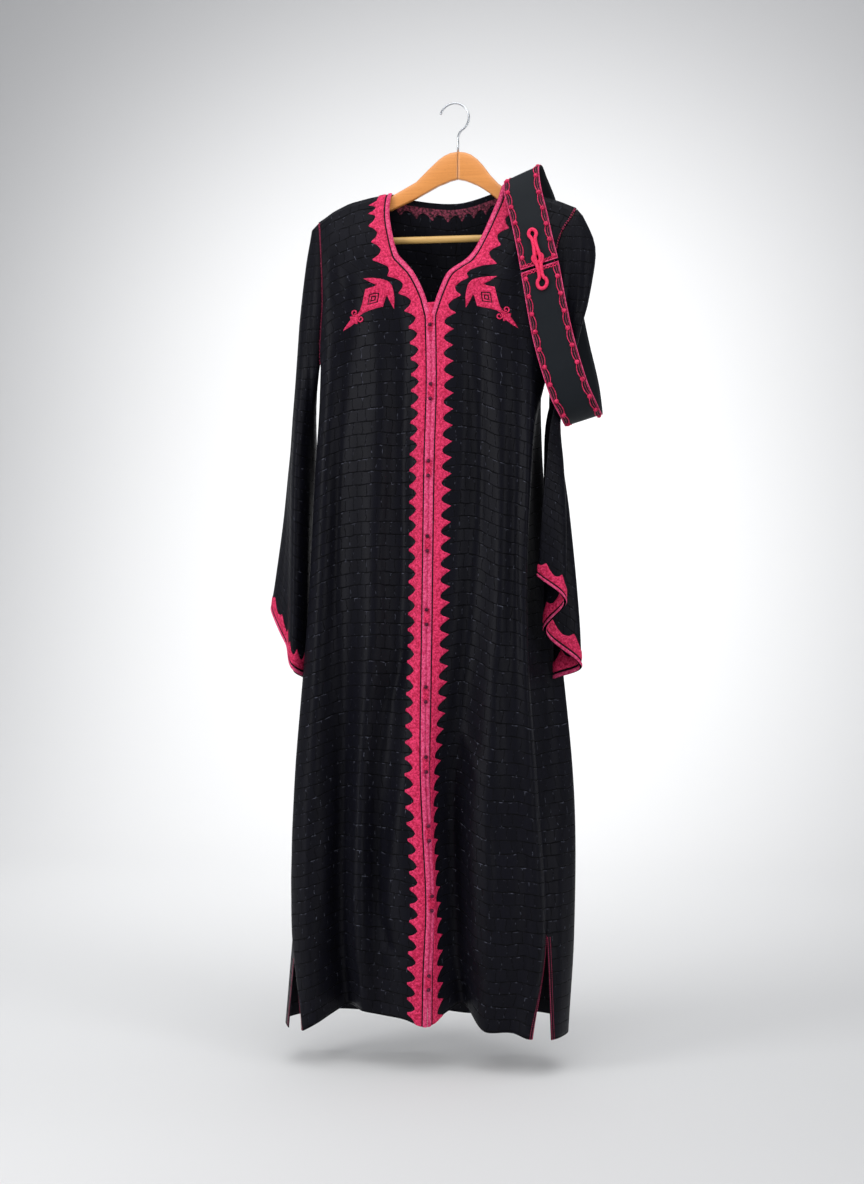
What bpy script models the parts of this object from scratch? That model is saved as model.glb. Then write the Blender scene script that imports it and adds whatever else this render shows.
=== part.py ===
"""A jebba, a long black robe with pink embroidery, hanging on a wooden clothes hanger.

Blender 4.5 script, metres, +Z up. The origin is the topmost inner point of the hanger's hook,
where a rail carries it. -Y is the front, and left and right are the viewer's.
Tables and named sizes are in millimetres and are turned to metres as a mesh is made.
"""
import math

import bmesh
import bpy
import numpy as np
from mathutils import Matrix, Vector
from mathutils.geometry import delaunay_2d_cdt

MM = 0.001

# Driving sizes of the robe
WALL = 1.0                 # cloth
SEAM_GAP = 0.5             # each side of a sewn seam
CENTRE_GAP = 0.7           # each side of the front opening
SHOULDER_GAP = 1.4         # each side of the shoulder seam, over the hanger's rounded top
SHOULDER_ROLL = 8.0        # the cloth is past the hanger's top this far below the seam
SHOULDER_Y = 10.0          # front and back of the hanger's top, where the cloth leaves it
V_BOTTOM = -357.0          # lowest point of the neckline
V_SHARE = 0.156            # the same point, as a share of the way from shoulder to hem
ARMHOLE_BULGE = 30.0       # half the widest gap between front and back at the armhole

# Driving sizes of the embroidery
TRIM_STEPS = (0, 8, 22, 38)       # from the edge: braid, dark line and band, teeth
MOST_SLANT = 1.6                  # how far the steps are stretched at most where the edge slants
NECK_TRIM_STEPS = (0, 8, 25, 43)  # the same round the neckline, where it is wider
BRAID_WIDTH = 7.0
BAND_START = 9.0
TRIM_LIFT = 0.9            # off the cloth, to clear its folds
TOOTH_LIFT = 1.5           # the same at the teeth
BACK_NECK_LIFT = 2.4       # where the cloth rolls over the hanger
CUFF_LIFT = 0.8
TRIM_THICK = 1.0
TOOTH_TIP = 2.9            # in steps, so that a point stops just short of the next fold

# Rows of the body, from the shoulder seam: four at the trim's steps, then down to the V, then
# to the hem with two teeth to a row
NECK_ROWS = 6
BODY_ROWS = 22
PLAIN_COLUMNS = 9

# Levels at which the folds below are given, between the shoulder and the hem
LEVELS = (-250, -350, -600, -850, -1150, -1380)

# Front edges: x, y, z down the neckline, and on down the middle
NECK_LEFT = ((-105, -10, -145), (-108, -14, -179), (-102, -22, -215), (-91, -28, -252),
             (-77, -32, -268), (-63, -36, -285), (-45, -41, -321))
NECK_RIGHT = ((81, -10, -137), (75, -14, -161), (64, -18, -189), (49, -23, -224), (34, -28, -252),
              (19, -33, -268), (5, -37, -277), (-7, -40, -288), (-20, -43, -317))
CENTRE = ((-34, -45, -357), (-32, -50, -472), (-35, -54, -595), (-38, -58, -850),
          (-40, -62, -1090), (-36, -62, -1200), (-31, -60, -1321), (-37, -50, -1438),
          (-40, -40, -1526))

# Shoulder line of the cloth: x, z
SHOULDER_LEFT = ((-105, -145), (-150, -153), (-194, -167), (-231, -190))
SHOULDER_RIGHT = ((81, -137), (120, -149), (169, -165), (203, -179))

# Side seams: x, y, z from the shoulder end down the middle of the armhole to the slit's top
SIDE_LEFT = ((-231, 0, -190), (-227, 0, -205), (-221, 0, -261), (-218, 0, -325),
             (-226, 2, -432), (-229, 6, -600), (-240, 14, -850), (-262, 16, -1150),
             (-270, 8, -1380))
SIDE_RIGHT = ((203, 0, -179), (194, 0, -199), (182, 0, -218), (173, 0, -245), (164, 0, -310),
              (163, 0, -410), (142, 0, -500), (122, 2, -600), (112, 6, -850), (136, 2, -1150),
              (153, -6, -1380))
UNDERARM_LEFT = -432
UNDERARM_RIGHT = -410
# Corners of the slits at the hem: x, y, z
HEM_LEFT_FRONT = (-255, -22, -1543)
HEM_LEFT_BACK = (-279, -12, -1543)
HEM_RIGHT_FRONT = (134, -38, -1540)
HEM_RIGHT_BACK = (162, -25, -1544)

# Folds: x at the shoulder, x at each level and at the hem, y at each level and at the hem,
# z at the hem
FRONT_LEFT_FOLDS = (
    # near the middle, valley, crest, valley, crest, side
    (-122, (-112, -64, -62, -62, -76, -84, -80), (-33, -43, -48, -52, -60, -60, -36), -1516),
    (-140, (-130, -88, -85, -88, -122, -126, -122), (-35, -38, -36, -38, -30, -32, -18), -1514),
    (-158, (-151, -126, -128, -130, -152, -153, -150), (-38, -45, -54, -60, -52, -50, -30), -1506),
    (-178, (-173, -166, -184, -185, -188, -190, -186), (-34, -36, -33, -30, -10, 2, 26), -1510),
    (-203, (-202, -196, -214, -222, -232, -236, -228), (-36, -40, -44, -48, -50, -44, -30), -1530),
    (-217, (-213, -210, -231, -245, -268, -272, -250), (-32, -37, -22, -22, -22, -18, -30), -1542),
)
FRONT_RIGHT_FOLDS = (
    (98, (56, 10, 10, 4, -25, -20, -12), (-33, -50, -55, -52, -34, -32, -10), -1508),
    (116, (76, 42, 44, 32, 2, 4, 14), (-34, -41, -40, -34, -14, -12, 14), -1500),
    (138, (100, 78, 82, 78, 60, 62, 52), (-42, -49, -52, -56, -60, -56, -32), -1532),
    (158, (124, 108, 108, 104, 106, 112, 98), (-38, -43, -40, -42, -46, -42, -28), -1534),
    (178, (150, 136, 127, 123, 134, 146, 122), (-39, -43, -46, -47, -46, -36, -38), -1540),
    (192, (164, 152, 131, 121, 142, 153, 130), (-34, -38, -22, -24, -22, -18, -39), -1541),
)
# Back folds from left to right. The third and the seventh start at the neck's corners
BACK_FOLDS = (
    (-212, (-211, -205, -222, -240, -266, -284, -292), (27, 31, 40, 56, 64, 62, 50), -1540),
    (-170, (-174, -172, -180, -190, -205, -220, -225), (31, 38, 60, 78, 92, 100, 98), -1536),
    (-105, (-119, -122, -125, -130, -140, -150, -150), (30, 34, 54, 64, 74, 82, 84), -1532),
    (-86, (-66, -60, -60, -62, -66, -70, -70), (34, 42, 68, 86, 100, 108, 106), -1530),
    (0, (0, 0, 5, 10, 15, 18, 18), (31, 36, 56, 66, 74, 78, 78), -1530),
    (62, (58, 58, 66, 84, 95, 100, 98), (34, 40, 72, 92, 102, 110, 108), -1530),
    (81, (102, 106, 116, 146, 170, 176, 166), (32, 38, 76, 102, 104, 104, 94), -1534),
    (150, (141, 138, 142, 164, 195, 196, 187), (33, 38, 68, 96, 70, 56, 38), -1543),
    (186, (163, 152, 128, 128, 162, 176, 178), (29, 28, 38, 64, 28, 12, -2), -1544),
)
BACK_CELLS = (1, 2, 2, 1, 3, 3, 1, 2, 2, 1)   # columns of cloth between one fold and the next
BACK_NECK = {3: 6.0, 4: 12.0, 5: 15.0, 6: 12.0, 7: 6.0}   # y of the neck's top, by fold
BACK_NECK_Z = {4: -152.0, 5: -162.0, 6: -148.0}

# Sleeves: a flattened tube bent to and fro. A row for each height: x, y of the top line, of three
# bends and of the underarm line, then the tube's thickness
SLEEVE_LEFT = (
    (-192, (-240, 0), (-237, 0), (-235, 0), (-233, 0), (-230, 0), 0),
    (-260, (-252, 4), (-241, 3), (-236, 2), (-231, 1), (-221, 0), 4),
    (-340, (-264, 16), (-249, 9), (-242, 6), (-234, 3), (-218, 0), 12),
    (-432, (-275, 36), (-262, 18), (-253, 11), (-244, 7), (-229, 2), 15),
    (-500, (-281, 46), (-272, 17), (-260, 2), (-248, 8), (-240, 26), 10),
    (-600, (-292, 52), (-276, 4), (-263, -22), (-247, 4), (-244, 50), 10),
    (-700, (-303, 54), (-280, 5), (-265, -24), (-249, 4), (-254, 82), 8),
    (-850, (-328, 57), (-284, 6), (-268, -22), (-253, 6), (-263, 92), 8),
    (-985, (-350, 58), (-287, 6), (-272, -20), (-255.5, 8), (-268, 98), 8),
)
SLEEVE_RIGHT = (
    (-181, (208, 0), (207, 0), (206, 0), (205, 0), (204, 0), 0),
    (-240, (233, 0), (217, 0), (203, 0), (186, 0), (175, 0), 4),
    (-300, (229, -6), (214, -3), (198, -1), (179, 0), (166, 0), 12),
    (-370, (214, -18), (205, -8), (193, -2), (176, 1), (164, 0), 20),
    (-410, (203, -24), (197, -9), (187, -1), (176, 2), (166, 0), 16),
    (-470, (181, -31), (185, -12), (172, 2), (166, 13), (157, 20), 11),
    (-530, (164, -36), (175, -11), (154, 7), (167, 31), (154, 46), 8),
    (-600, (156, -34), (180, -8), (150, 14), (176, 44), (157, 66), 8),
    (-680, (148, -30), (184, -6), (150, 17), (187, 46), (160, 70), 8),
    (-850, (134, -16), (184, -3), (149, 21), (203, 45), (160, 70), 8),
    (-958, (126, -14), (184, -2), (147, 23), (208, 44), (160, 66), 8),
)
# The share of a sleeve's width at each bend, and how far down the cuff's slant it lies
SLEEVE_BENDS_LEFT = (0, 0.36, 0.5, 0.64, 1)
CUFF_DROPS_LEFT = (0, 0.44, 0.7, 0.81, 1)
SLEEVE_BENDS_RIGHT = (0, 0.26, 0.5, 0.8, 1)
CUFF_DROPS_RIGHT = (0, 0.24, 0.53, 0.87, 1)
# Heights of the top line and the underarm line at the cuff
CUFF_LEFT = (-837, -985)
CUFF_RIGHT = (-785, -958)
PINCH = 0.4                # how much thinner the tube is at a bend
PINCH_WIDTH = 0.07         # and over what share of the sleeve's width
SLEEVE_CELLS = 4           # columns of cloth from one bend to the next, in each half
SLEEVE_ROWS = 8            # below the underarm
SLEEVE_HEAD = (0.05, 0.15, 0.34, 0.56, 0.78)   # rows above it, shares of the armhole
PINCH_START = 0.25         # the pinch grows over this share of the way from underarm to cuff
TUBE_POWER = 0.45          # how full the tube's edges are: 1 is a pointed oval, 0 a box
HEAD_POWER = 0.6           # the same for the rounded head
CUFF_STEPS = (0, 6, 9, 24, 38)    # braid, line, band, teeth, from the cuff's edge

# Chest motif: a bud between two leaves, on a stalk with a leaf at its end. Its outline on one side,
# as distance along the stalk's line from the bud's middle, and distance out from that line
MOTIF_HALF = (
    (-50, 0), (-49, 6), (-44, 15), (-36, 25), (-24, 36), (-28, 22), (-32, 12), (-26, 14), (-14, 21),
    (-4, 15), (6, 9), (16, 4), (23, 2.5), (30, 3.5), (36, 9), (39, 4.5), (49, 3), (61, 0),
)
MOTIF_TILT = math.radians(-45)
MOTIF_RIGHT_AT = (67, -338)       # x, z of its middle
MOTIF_LEFT_AT = (-138, -336)
MOTIF_GRID = 9.0
MOTIF_LIFT = 1.4
MOTIF_REACH = (70, 90)            # x, z from a point within which its cell of the cloth lies

# Buttons: the height of each pair's middle
BUTTONS = (-369, -483, -609, -732, -852, -978, -1092, -1204, -1318, -1450)
KNOT_DIAMETER = 6.5
KNOT_APART = 24.0
KNOT_LIFT = 1.4            # of its middle over the tab's face
TAB = (11.0, 31.0, 1.6)    # width, height and thickness of the pink tab under a pair
TAB_LIFT = 2.6

# Belt: a stiff loop. A row for each section, and in it x, y, z of its left and right edges
BELT = (
    ((115.5, -57.2, -294), (176.5, -55.2, -275)), ((136, -60, -406), (198, -58, -384)),
    ((162, -56, -493), (222, -52, -468)), ((177, -40, -524), (237, -38, -503)),
    ((184, -3, -538), (245, -1, -519)), ((183, 32, -522), (243, 34, -500)),
    ((176, 47, -484), (237, 49, -461)), ((158, 56, -410), (220, 58, -388)),
    ((141, 57, -325), (203, 59, -306)), ((126, 52, -250), (186, 54, -234)),
    ((113, 43, -197), (173, 45, -181)), ((101, 32, -164), (164, 34, -150)),
    ((91, 17, -139.2), (152, 19, -121)), ((86, 0, -131.2), (146, 0, -107)),
    ((84, -18, -136.2), (142, -16, -112)), ((86, -33, -159), (146, -30, -146)),
    ((98, -46, -206), (158, -43, -196)), ((108, -53, -252), (167, -51, -236)),
    ((115, -57, -290), (176, -55, -271)),
)
BELT_THICK = 3.0
BELT_ROWS = 34
# The belt's fastening: two cord loops, each a ring and two cords side by side
FROG_RING = 7.0            # radius to the middle of the cord
FROG_SHAFT = 4.0           # half the distance between the two cords
FROG_CORD = 3.2
FROG_LIFT = 0.4

# Hanger
HANGER_MIDDLE = 6.0
ARM_THICK = 11.0
# x from the joint, z of the top, height, outwards along each arm
ARM_LEFT = ((0.4, -79, 46), (12, -80.5, 47), (22, -84.5, 47), (32, -91, 44), (50, -107.5, 37),
            (70, -127, 28), (111, -149, 24), (156, -157, 24), (180, -165, 27), (193, -169, 41),
            (195, -170, 68), (208, -175, 66), (216, -182, 48))
ARM_RIGHT = ((0.4, -79, 46), (12, -80.5, 47), (22, -84.5, 47), (32, -92, 44), (42, -103, 39),
             (54, -119.5, 31), (68, -134.6, 27), (77, -141.2, 25), (120, -154.5, 24),
             (163, -170, 24), (180, -178, 25), (191, -186, 24), (193, -188, 50), (199, -196, 42),
             (203, -209, 28))
BAR_Z = -224.0
BAR_DIAMETER = 11.5
BAR_ENDS = (-187.0, 197.2)
HOOK_RADIUS = 24.0         # to the middle of the wire
HOOK_WIRE = 3.6
HOOK_TIP_ANGLE = 165.0     # anticlockwise from +X
HOOK_SINK = 0.3

COLOURS = {
    "black jacquard": ("1E1F26", 0.45, 0.0),
    "pink embroidery": ("E0305F", 0.7, 0.0),
    "pink braid": ("E04B7D", 0.6, 0.0),
    "dark knots": ("3A0A1A", 0.6, 0.0),
    "belt cloth": ("1C2026", 0.6, 0.0),
    "varnished beech": ("E4A56E", 0.4, 0.0),
    "pale beech": ("CDAA6E", 0.5, 0.0),
    "chromed steel": ("C0C4C8", 0.2, 1.0),
}


def new_collection(name):
    collection = bpy.data.collections.new(name)
    bpy.context.scene.collection.children.link(collection)
    return collection


def material(name):
    """The named finish, made once."""
    found = bpy.data.materials.get(name)
    if found:
        return found
    code, roughness, metallic = COLOURS[name]
    made = bpy.data.materials.new(name)
    made.use_nodes = True
    shader = made.node_tree.nodes["Principled BSDF"]
    rgb = [int(code[i:i + 2], 16) / 255 for i in (0, 2, 4)]
    shader.inputs["Base Color"].default_value = [c ** 2.2 for c in rgb] + [1]
    shader.inputs["Roughness"].default_value = roughness
    shader.inputs["Metallic"].default_value = metallic
    return made


def add_object(name, mesh, finish):
    piece = bpy.data.objects.new(name, mesh)
    piece.data.materials.append(material(finish))
    robe.objects.link(piece)
    return piece


def add_mesh(name, points, faces, finish):
    """An object from points in millimetres."""
    mesh = bpy.data.meshes.new(name)
    mesh.from_pydata([Vector(p) * MM for p in points], [], faces)
    mesh.update()
    return add_object(name, mesh, finish)


def thicken(piece, thickness, outwards):
    """Give an open sheet its wall, inside or outside of its surface."""
    wall = piece.modifiers.new("wall", "SOLIDIFY")
    wall.thickness = thickness * MM
    wall.offset = 1 if outwards else -1
    wall.use_quality_normals = True
    return piece


def smooth(knots, values, at):
    """Value on the smooth curve through values, given at rising or falling knots."""
    knots = np.asarray(knots, float)
    values = np.asarray(values, float)
    if knots[-1] < knots[0]:
        knots, at = -knots, -at
    slopes = np.empty_like(values)
    slopes[0] = (values[1] - values[0]) / (knots[1] - knots[0])
    slopes[-1] = (values[-1] - values[-2]) / (knots[-1] - knots[-2])
    for i in range(1, len(knots) - 1):
        slopes[i] = (values[i + 1] - values[i - 1]) / (knots[i + 1] - knots[i - 1])
    i = int(np.clip(np.searchsorted(knots, at) - 1, 0, len(knots) - 2))
    step = knots[i + 1] - knots[i]
    t = min(max((at - knots[i]) / step, 0.0), 1.0)
    return ((2 * t ** 3 - 3 * t ** 2 + 1) * values[i] + (t ** 3 - 2 * t ** 2 + t) * step * slopes[i]
            + (3 * t ** 2 - 2 * t ** 3) * values[i + 1] + (t ** 3 - t ** 2) * step * slopes[i + 1])


def down_path(path, z):
    """Point at height z on a path given as rows of x, y, z."""
    rows = np.array(path, float)
    x, y = smooth(rows[:, 2], rows[:, :2], z)
    return np.array((x, y, z))


def row_shares():
    """How far down each row of the body lies, from 0 at the shoulder to 1 at the hem."""
    drop = -CENTRE[-1][2] + NECK_LEFT[0][2]
    trim = [step / drop for step in TRIM_STEPS]
    neck = np.linspace(trim[-1], V_SHARE, NECK_ROWS + 1)[1:]
    body = np.linspace(V_SHARE, 1, BODY_ROWS + 1)[1:]
    return trim + list(neck) + list(body)


SHARES = row_shares()
V_ROW = len(TRIM_STEPS) - 1 + NECK_ROWS


def roll(share, top_z, hem_z):
    """0 on the shoulder seam, 1 where the cloth has passed over the hanger."""
    return min(1.0, share * (top_z - hem_z) / SHOULDER_ROLL + 1e-9)


def edge_point(neck, share):
    """Point on a front edge."""
    if share < V_SHARE:
        path = neck + CENTRE[:1]
        z = neck[0][2] + (V_BOTTOM - neck[0][2]) * share / V_SHARE
    else:
        path = CENTRE
        z = V_BOTTOM + (CENTRE[-1][2] - V_BOTTOM) * (share - V_SHARE) / (1 - V_SHARE)
    x, y, z = down_path(path, z)
    over = roll(share, neck[0][2], CENTRE[-1][2])
    return np.array((x, -SHOULDER_GAP + (y + SHOULDER_GAP) * over, z))


def fold_point(fold, share, shoulder, side, neck_top=None):
    """Point on a fold of the front (side -1) or the back (side 1)."""
    top_x, xs, ys, hem_z = fold
    if neck_top is None:
        line = np.array(shoulder, float)
        top_z = float(smooth(line[:, 0] * np.sign(top_x), line[:, 1], top_x * np.sign(top_x)))
        top_y = SHOULDER_Y * side
        rolled = SHOULDER_GAP * side
    else:
        top_y, top_z = neck_top
        rolled = top_y
        top_y = max(top_y, SHOULDER_Y)
    knots = (top_z,) + LEVELS + (hem_z,)
    z = top_z + (hem_z - top_z) * share
    x, y = smooth(knots, np.array(((top_x,) + xs, (top_y,) + ys)).T, z)
    over = roll(share, top_z, hem_z)
    return np.array((x, rolled + (y - rolled) * over, z))


def side_point(path, corner, underarm, share, side):
    """Point on the front's (side -1) or back's (side 1) outer edge: armhole, seam and slit."""
    top_z = path[0][2]
    z = top_z + (corner[2] - top_z) * share
    x, y, z = down_path(path + (corner,), z)
    if z > underarm:
        y += side * ARMHOLE_BULGE * math.sin(math.pi * (top_z - z) / (top_z - underarm)) ** 0.5
    over = roll(share, top_z, corner[2])
    y = side * SHOULDER_GAP * (1 - over) + y * over
    return np.array((x, y, z))


def body_row(share):
    """The points that shape one row, as three lists: front left, back, front right."""
    left = [edge_point(NECK_LEFT, share)]
    left += [fold_point(f, share, SHOULDER_LEFT, -1) for f in FRONT_LEFT_FOLDS]
    left.append(side_point(SIDE_LEFT, HEM_LEFT_FRONT, UNDERARM_LEFT, share, -1))
    right = [edge_point(NECK_RIGHT, share)]
    right += [fold_point(f, share, SHOULDER_RIGHT, -1) for f in FRONT_RIGHT_FOLDS]
    right.append(side_point(SIDE_RIGHT, HEM_RIGHT_FRONT, UNDERARM_RIGHT, share, -1))
    back = [side_point(SIDE_LEFT, HEM_LEFT_BACK, UNDERARM_LEFT, share, 1)]
    for number, fold in enumerate(BACK_FOLDS, 1):
        shoulder = SHOULDER_LEFT if fold[0] < 0 else SHOULDER_RIGHT
        neck_top = None
        if number in BACK_NECK:
            corner_z = SHOULDER_LEFT[0][1] if number < 5 else SHOULDER_RIGHT[0][1]
            neck_top = (BACK_NECK[number], BACK_NECK_Z.get(number, corner_z))
        back.append(fold_point(fold, share, shoulder, 1, neck_top))
    back.append(side_point(SIDE_RIGHT, HEM_RIGHT_BACK, UNDERARM_RIGHT, share, 1))
    return left, back, right


def curve_through(points, before, after, pieces=12):
    """Fine line through points that leaves its ends in line with the neighbours' points."""
    chain = [before] + list(points) + [after]
    lengths = [0.0]
    for a, b in zip(chain, chain[1:]):
        lengths.append(lengths[-1] + max(float(np.linalg.norm(b - a)), 0.5))
    knots, values = np.array(lengths), np.array(chain)
    fine = []
    stops = []
    for i in range(1, len(chain) - 2):
        stops.append(len(fine))
        for k in range(pieces):
            fine.append(smooth(knots, values, knots[i] + (knots[i + 1] - knots[i]) * k / pieces))
    fine.append(values[-2])
    stops.append(len(fine) - 1)
    return np.array(fine), stops


def along(fine, distances):
    """Points at the given distances along a fine line."""
    steps = np.linalg.norm(np.diff(fine, axis=0), axis=1)
    run = np.concatenate(((0,), np.cumsum(steps)))
    return [np.array([np.interp(d, run, fine[:, k]) for k in range(3)]) for d in distances], run


class Cloth:
    """A grid of points over one cut piece, row by row, and the way out of the cloth at each.

    Rows whose last point is their first are closed, as in a sleeve below the armhole.
    """

    def __init__(self, grid, turn):
        self.grid = np.array(grid)
        self.turn = turn
        across = np.diff(self.grid, axis=1)
        across /= np.maximum(np.linalg.norm(across, axis=2), 0.001)[:, :, None]
        down = np.diff(self.grid, axis=0)
        down /= np.linalg.norm(down, axis=2)[:, :, None]
        closed = np.linalg.norm(self.grid[:, 0] - self.grid[:, -1], axis=1) < 0.001
        before = np.concatenate((across[:, :1], across), axis=1)
        after = np.concatenate((across, across[:, -1:]), axis=1)
        before[closed, 0] = across[closed, -1]
        after[closed, -1] = across[closed, 0]
        above = np.concatenate((down[:1], down), axis=0)
        below = np.concatenate((down, down[-1:]), axis=0)
        out = np.cross(before + after, above + below) * turn
        self.out = out / np.maximum(np.linalg.norm(out, axis=2), 0.001)[:, :, None]

    def at(self, row, column, lift=0.0):
        """Point at a row and a column, one of which may lie between two lines of the grid."""
        rows, columns = self.grid.shape[:2]
        r, c = min(int(row), rows - 2), min(int(column), columns - 2)
        dr, dc = row - r, column - c
        total = np.zeros(3)
        out = np.zeros(3)
        for i, wr in ((r, 1 - dr), (r + 1, dr)):
            for j, wc in ((c, 1 - dc), (c + 1, dc)):
                total += self.grid[i, j] * wr * wc
                out += self.out[i, j] * wr * wc
        return total + out / np.linalg.norm(out) * lift

    def make(self, name, finish):
        rows, columns = self.grid.shape[:2]
        faces = []
        for r in range(rows - 1):
            for c in range(columns - 1):
                face = (r * columns + c, (r + 1) * columns + c,
                        (r + 1) * columns + c + 1, r * columns + c + 1)
                faces.append(face if self.turn < 0 else face[::-1])
        piece = add_mesh(name, self.grid.reshape(-1, 3), faces, finish)
        shape = bmesh.new()
        shape.from_mesh(piece.data)
        bmesh.ops.remove_doubles(shape, verts=shape.verts, dist=0.01 * MM)
        shape.to_mesh(piece.data)
        shape.free()
        return thicken(piece, WALL, False)


def front_panel(rows, neck, turn):
    """Grid of a front panel: columns at the trim's steps from the edge, then even ones."""
    grid = []
    for number, (points, before, after) in enumerate(rows):
        fine, _ = curve_through(points, before, after)
        _, run = along(fine, (0,))
        slant = 1.0
        steps = TRIM_STEPS
        if number <= V_ROW:
            steps = NECK_TRIM_STEPS
            share = SHARES[number]
            a = edge_point(neck, max(share - 0.004, 0))
            b = edge_point(neck, min(share + 0.004, V_SHARE))
            slant = min(float(np.linalg.norm((b - a)[[0, 2]])) / abs(b[2] - a[2]), MOST_SLANT)
        start = CENTRE_GAP if number >= V_ROW else 0.0
        ends = [start + step * slant for step in steps]
        finish = run[-1] - SEAM_GAP
        ends += list(np.linspace(ends[-1], finish, PLAIN_COLUMNS + 1)[1:])
        grid.append(along(fine, ends)[0])
    return Cloth(grid, turn)


def back_panel(rows):
    """Grid of the back: so many columns between one fold and the next."""
    grid = []
    for points, before, after in rows:
        fine, stops = curve_through(points, before, after)
        _, run = along(fine, (0,))
        ends = [SEAM_GAP]
        for cells, a, b in zip(BACK_CELLS, stops, stops[1:]):
            ends += list(np.linspace(run[a], run[b], cells + 1)[1:])
        ends[-1] -= SEAM_GAP
        grid.append(along(fine, ends)[0])
    return Cloth(grid, 1)


def body_panels():
    left_rows, back_rows, right_rows = [], [], []
    for share in SHARES:
        left, back, right = body_row(share)
        joined = share >= V_SHARE
        left_rows.append((left, right[1] if joined else 2 * left[0] - left[1], back[1]))
        right_rows.append((right, left[1] if joined else 2 * right[0] - right[1], back[-2]))
        back_rows.append((back, left[-2], right[-2]))
    return (front_panel(left_rows, NECK_LEFT, 1), back_panel(back_rows),
            front_panel(right_rows, NECK_RIGHT, -1))


def trim_sheet(name, cloth, outline_faces, finish, lift=TRIM_LIFT, tooth_lift=None):
    """A raised piece whose faces are given by rows and columns of the cloth under it."""
    points, numbers, faces = [], {}, []
    for face in outline_faces:
        corners = []
        for spot in face:
            key = (round(spot[0], 4), round(spot[1], 4))
            if key not in numbers:
                numbers[key] = len(points)
                tooth = tooth_lift is not None and spot[1] >= 2
                points.append(cloth.at(spot[0], spot[1], tooth_lift if tooth else lift))
            corners.append(numbers[key])
        faces.append(corners if cloth.turn < 0 else corners[::-1])
    return thicken(add_mesh(name, points, faces, finish), TRIM_THICK, True)


def strip(rows, first, last):
    """Faces of a strip between two columns, over the given rows."""
    return [((a, first), (b, first), (b, last), (a, last)) for a, b in zip(rows, rows[1:])]


def front_trim(side, cloth):
    """The edge braid, and the band whose outer side is cut into pointed teeth."""
    last_row = len(SHARES) - 1
    rows = list(range(last_row + 1))
    braid_edge = BRAID_WIDTH / TRIM_STEPS[1]
    band_edge = 1 + (BAND_START - TRIM_STEPS[1]) / (TRIM_STEPS[2] - TRIM_STEPS[1])
    trim_sheet("braid_" + side, cloth, strip(rows, 0, braid_edge), "pink braid")
    faces = []
    for row in range(last_row):
        teeth = 2 if row >= V_ROW else 1
        cuts = [row + k / (2 * teeth) for k in range(2 * teeth + 1)]
        roots = cuts[::2]
        tips = cuts[1::2]
        faces += strip(roots, band_edge, 2)
        if row >= len(TRIM_STEPS) - 1:
            faces += [((a, 2), (b, 2), (tip, TOOTH_TIP))
                      for a, b, tip in zip(roots, roots[1:], tips)]
    trim_sheet("embroidery_" + side, cloth, faces, "pink embroidery", tooth_lift=TOOTH_LIFT)


def turned(faces):
    """The same faces with rows and columns changed over."""
    return [tuple((b, a) for a, b in face)[::-1] for face in faces]


def back_neck_trim(cloth):
    """The same braid and band along the back of the neck."""
    first = sum(BACK_CELLS[:3])
    last = first + sum(BACK_CELLS[3:7])
    columns = list(range(first, last + 1))
    braid_edge = BRAID_WIDTH / TRIM_STEPS[1]
    band_edge = 1 + (BAND_START - TRIM_STEPS[1]) / (TRIM_STEPS[2] - TRIM_STEPS[1])
    braid = turned(strip(columns, 0, braid_edge))
    trim_sheet("braid_back_neck", cloth, braid, "pink braid", BACK_NECK_LIFT)
    faces = turned(strip(columns, band_edge, 2))
    faces += turned([((a, 2), (b, 2), ((a + b) / 2, 3)) for a, b in zip(columns, columns[1:])])
    trim_sheet("embroidery_back_neck", cloth, faces, "pink embroidery")


def armhole_point(panel, column, z):
    """Point just off a panel's armhole edge, at height z."""
    edge = panel.grid[:, column]
    beside = panel.grid[:, column + 1 if column == 0 else column - 1]
    spot, inner = [np.array([np.interp(-z, -edge[:, 2], line[:, k]) for k in range(3)])
                   for line in (edge, beside)]
    away = spot - inner
    return spot + away / np.linalg.norm(away) * SEAM_GAP * 2


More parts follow.
